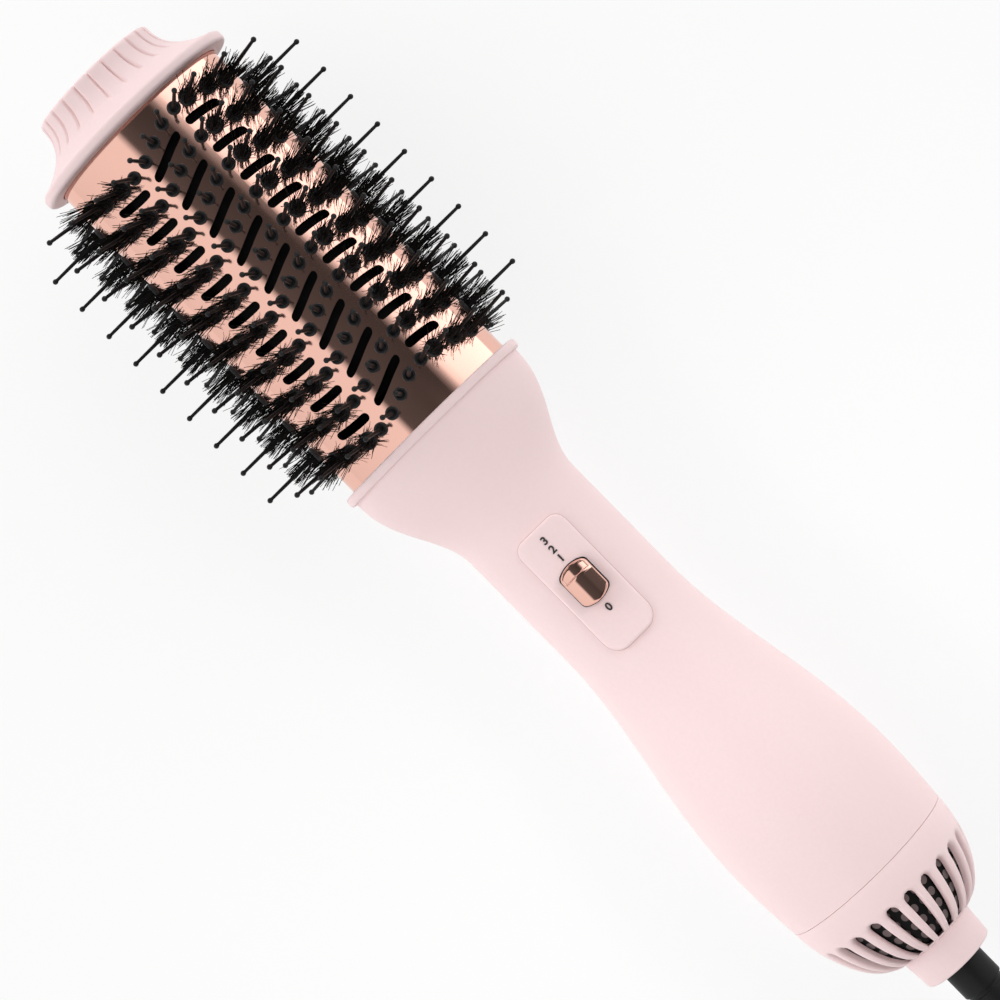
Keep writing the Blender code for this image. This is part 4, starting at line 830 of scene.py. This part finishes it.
def slot_share(angle):
    """How wide a slot is at an angle, as a share of its full width: round at its two ends, else 0."""
    folded = fold(angle)
    turn = math.radians(folded)
    per_degree = math.radians(1.0) * math.hypot(BARREL[0] * math.cos(turn), BARREL[1] * math.sin(turn))
    for low, high in SLOT_BANDS:
        if low <= folded <= high:
            inward = min(folded - low, high - folded) * per_degree
            round_end = SLOT_WIDTH / 2
            if inward >= round_end:
                return 1.0
            return math.sqrt(max(0.0, 1.0 - (1.0 - inward / round_end) ** 2))
    return 0.0


def barrel_angles():
    """Even steps round the barrel, with closer ones at the round ends of the slots."""
    half = set(spread(-90.0, 90.0, round(180.0 / ANGLE_STEP))[:-1])
    for low, high in SLOT_BANDS:
        half = {angle for angle in half if min(abs(angle - low), abs(angle - high)) >= SLOT_END_CLEAR}
        for step in SLOT_END_STEPS:
            half.update((low + step, high - step))
    half = sorted(half)
    return half + [angle + 180.0 for angle in half]


def make_barrel():
    angles = barrel_angles()
    slots = [COLUMN_START + (slot + 0.5) * COLUMN_PITCH for slot in range(COLUMN_COUNT - 1)]

    def lines(angle, offset):
        half = max(SLOT_LEAST, slot_share(angle)) * SLOT_WIDTH / 2
        edges = [station + column_sway(angle) + side * half for station in slots for side in (-1, 1)]
        return [barrel_point(station, angle, offset) for station in [BARREL_START] + edges + [BARREL_END]]

    def keep(row, column):
        low = angles[row]
        high = angles[row + 1] if row + 1 < len(angles) else 270.0
        return column % 2 == 0 or slot_share((low + high) / 2) == 0.0

    outside = [lines(angle, 0.0) for angle in angles]
    inside = [lines(angle, -BARREL_WALL) for angle in angles]
    points, faces, inner = grid_solid(outside, inside, keep, wrap=True)
    barrel = make_piece("barrel_tube", points, faces, "rose", ("barrel_sleeve",), "rose_gold_metal")
    # Inner faces and slot walls take the near-black painted shade
    barrel.data.materials.append(MATERIALS["bore"])
    for polygon in barrel.data.polygons:
        if polygon.index in inner:
            polygon.material_index = 1


class MeshPile:
    """Points and faces of many small shapes that make one piece."""

    def __init__(self):
        self.points = []
        self.faces = []

    def add(self, points, faces):
        first = len(self.points)
        self.points.extend(points)
        self.faces.extend([tuple(first + corner for corner in face) for face in faces])

    def add_round(self, foot, direction, profile, sides):
        """A shape turned about a direction from (height, radius) pairs."""
        side = direction.orthogonal().normalized()
        other = direction.cross(side)
        rings = []
        for height, radius in profile:
            ring = []
            for step in range(sides):
                turn = math.tau * step / sides
                out = side * math.cos(turn) + other * math.sin(turn)
                ring.append(foot + direction * height + out * radius)
            rings.append(ring)
        self.add(*skin(rings))


def pin_profile():
    """A tapered stem with a small ball on its end."""
    ball_middle = PIN_REACH - BALL_RADIUS
    profile = [(-BASE_SINK, PIN_FOOT_RADIUS), (PIN_FOOT_HEIGHT, PIN_FOOT_RADIUS),
               (ball_middle - BALL_RADIUS, PIN_TIP_RADIUS)]
    for degrees in BALL_DEGREES:
        turn = math.radians(degrees)
        profile.append((ball_middle + BALL_RADIUS * math.sin(turn), BALL_RADIUS * math.cos(turn)))
    profile.append((PIN_REACH, PIN_POINT))
    return profile


def base_profile(height, radius, edge):
    return [(-BASE_SINK, radius)] + [(height * share, radius + change) for share, change in edge]


def ring_profile():
    """A low round collar with a hollow in its middle."""
    share, change = RING_HOLE_EDGE
    hollow = [(RING_HEIGHT * share, RING_HOLE + change), (RING_HOLE_FLOOR, RING_HOLE),
              (RING_HOLE_FLOOR, PIN_FOOT_RADIUS)]
    return base_profile(RING_HEIGHT, RING_RADIUS, RING_EDGE) + hollow


def disc_profile():
    return base_profile(DISC_HEIGHT, DISC_RADIUS, DISC_EDGE) + [(DISC_HEIGHT, PIN_FOOT_RADIUS)]


def add_tuft(pile, foot, normal, chance):
    """Fibres that fan out from all over a base disc, round its pin."""
    side = Vector((1.0, 0.0, 0.0))
    other = normal.cross(side)
    thirds = [math.tau * third / 3 for third in range(3)]
    corners = [side * math.cos(third) + other * math.sin(third) for third in thirds]
    for strand in range(TUFT_STRANDS):
        turn = math.tau * (strand * TUFT_TURN + chance.uniform(-TUFT_TURN_STRAY, TUFT_TURN_STRAY))
        share = math.sqrt((strand + 0.5) / TUFT_STRANDS)
        out = side * math.cos(turn) + other * math.sin(turn)
        start = foot + out * (DISC_RADIUS - TUFT_MARGIN) * max(TUFT_CORE, share)
        lean = TUFT_SPREAD * share + chance.uniform(-TUFT_STRAY, TUFT_STRAY)
        stray = normal.cross(out) * chance.uniform(-TUFT_STRAY, TUFT_STRAY)
        reach = TUFT_REACH * chance.uniform(*TUFT_LENGTHS)
        rings = []
        for along in (0.0, 0.5, 1.0):
            bend = lean * along + STRAND_CURL * lean * along ** 2
            middle = start + (normal + stray) * (reach * along) + out * (reach * bend)
            radius = STRAND_RADIUS * (1.0 - STRAND_TAPER * along)
            rings.append([middle + corner * radius for corner in corners])
        pile.add(*skin(rings))


def make_bristles():
    """Pins in ring bases along the middle rows, and pins in tufted discs along the outer rows and sides."""
    chance = random.Random(CHANCE_SEED)
    places = {}
    columns = [COLUMN_START + column * COLUMN_PITCH for column in range(COLUMN_COUNT)]
    for node, crest in (("bristle_comb_front", 0.0), ("bristle_comb_back", 180.0)):
        places[node] = []
        for row in SINGLE_ROWS + TUFT_ROWS:
            angle = crest + row
            places[node] += [(station + column_sway(angle), angle, row in TUFT_ROWS) for station in columns]
    for node, angle in (("bristle_strip_left", 90.0), ("bristle_strip_right", 270.0)):
        places[node] = [(station + COLUMN_PITCH / 2, angle, True) for station in columns[:-1]]
    for node, spots in places.items():
        pins = MeshPile()
        bases = MeshPile()
        tufts = MeshPile()
        for station, angle, tufted in spots:
            foot = barrel_point(station, angle)
            normal = barrel_normal(angle)
            pins.add_round(foot, normal, pin_profile(), PIN_SIDES)
            if tufted:
                bases.add_round(foot, normal, disc_profile(), BASE_SIDES)
                add_tuft(tufts, foot + normal * (DISC_HEIGHT - TUFT_SINK), normal, chance)
            else:
                bases.add_round(foot, normal, ring_profile(), BASE_SIDES)
                # A thin disc of the darker pin black over the hollow's floor: painted shade in the ring's
                # hollow
                pins.add_round(foot, normal, [(0.0, RING_HOLE), (RING_HOLE_SHADE_HEIGHT, RING_HOLE)], BASE_SIDES)
        make_piece(node + "_pins", pins.points, pins.faces, "pin", (node,), "black_nylon")
        make_piece(node + "_bases", bases.points, bases.faces, "base", (), "black_nylon")
        make_piece(node + "_tufts", tufts.points, tufts.faces, "hair", (), "black_nylon", sharp=80.0)


def half_ring(section, side):
    station, half_width, half_depth = section
    start = math.asin(SPLIT_GAP / 2 / half_depth)
    turns = spread(start, math.pi - start, HALF_SIDES)
    return [(station, half_width * math.cos(turn), side * half_depth * math.sin(turn)) for turn in turns]


def make_handle():
    mouth = grown(BARREL, FIT_GAP)
    lip = [(HANDLE_START, *mouth), (HANDLE_START, *FLANGE), (FLARE_START, *FLANGE), (FLARE_START, *FLARE)]
    outside = [tuple(point) for point in fillet(lip, EDGE_ROUND)]
    stations = spread(FLARE_START, SEAM_STATION - SEAM_EDGE, HANDLE_STEPS)[1:]
    outside += [(station, *handle_oval(station)) for station in stations]
    outside.append((SEAM_STATION, *grown(handle_oval(SEAM_STATION), -SEAM_EDGE)))
    stations = spread(FLARE_START + HANDLE_WALL, SEAM_STATION, HANDLE_INNER_STEPS)
    inside = [(station, *grown(handle_oval(station), -HANDLE_WALL)) for station in stations]
    sections = outside + inside[::-1]
    for half, side in (("top", 1), ("bottom", -1)):
        rings = list(zip(*[half_ring(section, side) for section in sections]))
        node = "handle_shell_" + half
        make_piece("handle_" + half, *skin(rings), "pink", (node,), "pink_plastic", sharp=40.0)


def make_grille():
    """A dome whose slots run back to the collar, with rounded bars between them."""
    period = 360.0 / GRILLE_SLOTS
    rows = []
    for slot in range(GRILLE_SLOTS):
        middle = period * (slot + 0.5)
        rows.append((middle, 0, (0.0, 0.0)))
        rows += [(middle, -1, rim) for rim in reversed(GRILLE_RIMS)]
        rows += [(middle, 1, rim) for rim in GRILLE_RIMS]
    rows_per_slot = 1 + 2 * len(GRILLE_RIMS)
    slot_start = SEAM_STATION + GRILLE_SLOT_START
    slot_end = SEAM_STATION + GRILLE_SLOT_END
    ahead = [slot_start - step for step in GRILLE_AHEAD_STEPS]
    ends = [slot_start + step for step in GRILLE_SLOT_STEPS]
    before, along, after = GRILLE_STEPS
    stations = spread(SEAM_STATION + SEAM_GAP, ahead[0], before)[:-1] + ahead + ends
    stations += spread(ends[-1], slot_end, along)[1:] + spread(slot_end, GRILLE_END, after)[1:]

    def half_slot(station):
        share = clamp((station - slot_start) / GRILLE_SLOT_ROUND)
        return GRILLE_SLOT_HALF * max(GRILLE_SLOT_LEAST, math.sqrt(1.0 - (1.0 - share) ** 2))

    def lines(row, inset):
        middle, side, (away, drop) = row
        line = []
        for station in stations:
            degrees = middle + side * (half_slot(station) + away) if side else middle - period / 2
            near = clamp(1.0 - (slot_start - station) / GRILLE_FADE) ** GRILLE_FADE_CURVE
            half = dome_oval(station, inset if inset else drop * near)
            line.append(oval_point(station, half, degrees))
        return line

    def keep(row, column):
        in_slot = slot_start - TOLERANCE < stations[column] < slot_end - TOLERANCE
        return row % rows_per_slot != len(GRILLE_RIMS) or not in_slot

    outside = [lines(row, 0.0) for row in rows]
    inside = [lines(row, GRILLE_WALL) for row in rows]
    dome = grid_solid(outside, inside, keep, wrap=True)[:2]
    make_piece("grille_dome", *dome, "pink", ("rear_grille",), "pink_plastic", sharp=65.0)
    make_filter()


def make_filter():
    """A dark mesh dome just inside the grille, with its own map of turns and stations."""
    sides = TURNED_SIDES
    inset = GRILLE_WALL + FILTER_GAP
    stations = spread(SEAM_STATION + FILTER_ENDS[0], GRILLE_END - FILTER_ENDS[1], FILTER_STEPS)
    rings = [oval(station, *dome_oval(station, inset), sides) for station in stations]
    dome = make_piece("filter_dome", *skin(rings), "filter", ("intake_filter",), "black_plastic")
    layer = dome.data.uv_layers.new(name="turns")
    for polygon in dome.data.polygons:
        corners = list(polygon.vertices)
        wraps = {corner % sides for corner in corners} >= {0, sides - 1} and len(corners) == 4
        for loop, corner in zip(polygon.loop_indices, corners):
            step = corner % sides
            turn = (sides if wraps and step == 0 else step) / sides
            along = corner // sides * (stations[1] - stations[0])
            layer.data[loop].uv = (turn * FILTER_HOLES, along / FILTER_HOLE_PITCH)


def turned_piece(name, line, material, stands_for, slot, body="brush"):
    """A piece turned about the axis from a closed line of (station, radius) pairs with rounded corners."""
    closed = [(station, radius, 0.0) for station, radius in line]
    rounded = fillet([closed[-1]] + closed + [closed[0]], TURNED_ROUND)[1:-1]
    rings = [oval(point.x, point.y, point.y, TURNED_SIDES) for point in rounded]
    return make_piece(name, *skin(rings, loop=True), material, stands_for, slot, body)


def make_cord_exit():
    start = GRILLE_END - FIT_GAP
    collar = [(start, COLLAR_BORE), (start, COLLAR_RADIUS), (COLLAR_END, COLLAR_END_RADIUS),
              (COLLAR_END, COLLAR_BORE)]
    turned_piece("collar_ring", collar, "pink", ("cord_collar",), "pink_plastic")
    inner = CORD_DIAMETER / 2 + CORD_CLEARANCE
    taper = COLLAR_END + COLLAR_LENGTH
    relief = [(start + RELIEF_INSET, inner), (start + RELIEF_INSET, RELIEF_RADIUS)]
    for groove in range(RELIEF_GROOVES):
        first = taper + groove * RELIEF_GROOVE_PITCH
        last = first + RELIEF_GROOVE_WIDTH
        deep = RELIEF_GROOVE_DEPTH
        for station, depth in ((first, 0.0), (first, deep), (last, deep), (last, 0.0)):
            share = (station - taper) / (RELIEF_END - taper)
            relief.append((station, RELIEF_RADIUS + (RELIEF_END_RADIUS - RELIEF_RADIUS) * share - depth))
    relief += [(RELIEF_END, RELIEF_END_RADIUS), (RELIEF_END, inner)]
    return turned_piece("strain_relief_boot", relief, "black_rubber", ("strain_relief",), "black_rubber",
                        "cord_swivel")


def shell_depth(station, across, lift):
    half_width, half_depth = handle_oval(station)
    share = across / (half_width + lift)
    return (half_depth + lift) * math.sqrt(1.0 - share * share)


def corner_back(inward, radius):
    """How far a rounding draws an edge back, at a distance in from it."""
    inward = min(inward, radius)
    return radius - math.sqrt(max(0.0, radius ** 2 - (radius - inward) ** 2))


def slot_ends():
    """Where the slot for the knob's stem starts and ends."""
    return STEM_START - KNOB_TRAVEL - STEM_CLEARANCE, STEM_END + STEM_CLEARANCE


def block(start, end, half_width, low, high):
    """Points and faces of an upright block."""
    corners = ((start, -half_width), (end, -half_width), (end, half_width), (start, half_width))
    return skin([[(station, across, height) for station, across in corners] for height in (low, high)])


def cut_slot(handle):
    """An opening in the handle for the knob's stem, cut by a hidden block."""
    half = STEM_HALF_WIDTH + STEM_CLEARANCE
    points, faces = block(*slot_ends(), half, NECK[1] - 2 * HANDLE_WALL, NECK[1] + PLATE_THICKNESS)
    cutter = add_object("slot_cutter", new_mesh("slot_cutter", [to_frame(point) for point in points], faces))
    cutter.hide_render = True
    cutter.display_type = "WIRE"
    cut = handle.modifiers.new("stem_slot", "BOOLEAN")
    cut.operation = "DIFFERENCE"
    cut.solver = "EXACT"
    cut.object = cutter


def plate_width(station):
    """Half width of the switch plate, with its round corners."""
    front = corner_back(station - PLATE_START, PLATE_CORNER)
    return PLATE_HALF_WIDTH - front - corner_back(PLATE_END - station, PLATE_REAR_CORNER)


def make_plate_painted_shade(stations):
    """A low band on the handle in a darker pink, painted shade that shows as a fine shadow line round the
    switch plate.
    """
    front = plate_width(PLATE_START)
    back = plate_width(PLATE_END)
    edge = [Vector((PLATE_START, across)) for across in spread(-front, front, PLATE_END_STEPS)[1:-1]]
    edge += [Vector((station, plate_width(station))) for station in stations]
    edge += [Vector((PLATE_END, across)) for across in spread(back, -back, PLATE_END_STEPS)[1:-1]]
    edge += [Vector((station, -plate_width(station))) for station in reversed(stations)]
    inner, outer = -FIT_GAP, PLATE_SHADE_BAND
    rings = []
    for number, here in enumerate(edge):
        along = edge[(number + 1) % len(edge)] - edge[number - 1]
        out = Vector((-along.y, along.x)).normalized()
        section = []
        for reach, lift in ((inner, -FIT_GAP), (inner, PRINT_LIFT), (outer, PRINT_LIFT), (outer, -FIT_GAP)):
            place = here + out * reach
            section.append((place.x, place.y, shell_depth(place.x, place.y, lift)))
        rings.append(section)
    make_piece("switch_plate_painted_shade", *skin(rings, loop=True), "gap")


def make_switch():
    """A thin plate with a rounded edge and a slot, the knob in the slot, and numbers beside it."""
    stations = [PLATE_START + share * PLATE_CORNER for share in PLATE_CORNER_STEPS] + [*slot_ends()]
    stations += [PLATE_END - share * PLATE_REAR_CORNER for share in reversed(PLATE_CORNER_STEPS)]

    def lines(share, lift, rounding):
        line = []
        for station in stations:
            width = plate_width(station)
            across = share * width
            inward = min(width - abs(across), station - PLATE_START, PLATE_END - station)
            height = shell_depth(station, across, FIT_GAP) + lift - corner_back(inward, rounding)
            line.append((station, across, height))
        return line

    slot_reach = (STEM_HALF_WIDTH + STEM_CLEARANCE) / PLATE_HALF_WIDTH
    edge_reach = PLATE_ROUND / PLATE_HALF_WIDTH
    right = spread(slot_reach, 1.0 - edge_reach, PLATE_SIDE_STEPS)[:-1]
    right += [1.0 - edge_reach * share for share in reversed(PLATE_CORNER_STEPS)]
    shares = [-share for share in reversed(right)] + right

    def keep(row, column):
        return row != len(right) - 1 or column != len(PLATE_CORNER_STEPS)

    outside = [lines(share, PLATE_THICKNESS, PLATE_ROUND) for share in shares]
    inside = [lines(share, -FIT_GAP, 0.0) for share in shares]
    plate = grid_solid(outside, inside, keep)[:2]
    make_piece("switch_plate_shell", *plate, "pink", ("switch_plate",), "pink_plastic")
    # A darker band round the plate is painted shade
    make_plate_painted_shade(stations)
    cut_slot(bpy.data.objects["handle_top"])
    make_knob()
    # A dark sheet under the knob is painted shade
    make_knob_shade_sheet()
    make_labels()


def knob_ends(share, margin):
    """Where the knob starts and ends at a share of its half width: bulged, with round corners."""
    corner = corner_back((1.0 - abs(share)) * KNOB_HALF_WIDTH, KNOB_CORNER)
    reach = KNOB_BULGE * (0.5 - share ** 2) - corner + margin
    return KNOB_START - reach, KNOB_START + KNOB_LENGTH + reach


def make_knob():
    """A knob with an arched top and a slanted, rimmed front, on a stem that goes down into the switch."""
    low = PLATE_TOP + FIT_GAP
    front_rows = spread(0.0, 1.0, KNOB_FACE_STEPS)
    back_rows = bunched(0.0, 1.0, KNOB_TOP_STEPS)[1:]
    shares = bunched(-1.0, 1.0, KNOB_SIDE_STEPS)

    def line(share):
        """Points from the front to the back of the knob's top, at a share of its half width."""
        across = KNOB_HALF_WIDTH * share
        side = KNOB_HALF_WIDTH - abs(across)
        start, end = knob_ends(share, 0.0)
        crest = KNOB_HEIGHT - across ** 2 / (2 * KNOB_ARC_RADIUS) - corner_back(side, KNOB_ROUND)
        rise = crest - KNOB_FACE_LOW
        face = KNOB_SLANT * rise / (KNOB_HEIGHT - KNOB_FACE_LOW)
        points = []
        for row in front_rows:
            inward = min(face * row, face * (1.0 - row), side)
            dish = KNOB_DISH * ease(clamp(inward / KNOB_RIM - 1.0))
            edge = corner_back(face * row, KNOB_EDGE)
            points.append((start + face * row, across, low + KNOB_FACE_LOW + rise * row - dish - edge))
        for row in back_rows:
            left = (end - start - face) * (1.0 - row)
            points.append((end - left, across, low + crest - corner_back(left, KNOB_ROUND)))
        return points

    top = [line(share) for share in shares]
    base = [[(station, across, low) for station, across, height in row] for row in top]
    pile = MeshPile()
    pile.add(*grid_solid(top, base)[:2])
    pile.add(*block(STEM_START, STEM_END, STEM_HALF_WIDTH, STEM_LOW, low))
    make_piece("knob_shell", pile.points, pile.faces, "rose", ("switch_knob",), "rose_gold_plastic", "switch")


def make_knob_shade_sheet():
    """A thin dark sheet under the knob that slides with it: painted shade that shows as a shadow line round
    it.
    """

    def line(share, height):
        across = (KNOB_HALF_WIDTH + SHADE_SHEET_MARGIN) * share
        return [(station, across, height) for station in knob_ends(share, SHADE_SHEET_MARGIN)]

    shares = bunched(-1.0, 1.0, SHADE_SHEET_STEPS)
    top = [line(share, PLATE_TOP + SHADE_SHEET_HEIGHT) for share in shares]
    base = [line(share, PLATE_TOP + SHADE_SHEET_LOW) for share in shares]
    make_piece("knob_painted_shade_sheet", *grid_solid(top, base)[:2], "black_plastic", (), "black_plastic", "switch")


def make_labels():
    """Plain numbers printed on the plate."""
    for text, station in LABELS:
        curve = bpy.data.curves.new("label_" + text, "FONT")
        curve.body = text
        curve.size = LABEL_SIZE * MM
        curve.align_x = "CENTER"
        curve.align_y = "CENTER"
        curve.extrude = PRINT_DEPTH * MM
        curve.offset = LABEL_WEIGHT * MM
        curve.materials.append(MATERIALS["ink"])
        label = add_object("label_" + text, curve)
        place = Matrix.Translation(Vector((station, 0.0, PLATE_TOP + PRINT_LIFT)) * MM)
        label.matrix_world = AXIS @ place @ Matrix.Rotation(math.radians(90.0), 4, "Z")
        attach(label, "brush")


def dress_inside():
    """Finishes for the solids inside the brush, and the small ones on the cord, that show as they are."""
    for part in FRAME["record"]["subparts"]:
        finish = MATERIALS.get(part["material_slot"])
        if finish:
            node = FRAME["nodes"][part["node"]]
            node.data.materials.clear()
            node.data.materials.append(finish)


bpy.context.scene.view_settings.view_transform = "Standard"
make_camera()
make_world()
make_lamps()
make_stage()
make_nose()
make_barrel()
make_bristles()
make_handle()
make_grille()
make_cord(make_cord_exit())
make_switch()
dress_inside()
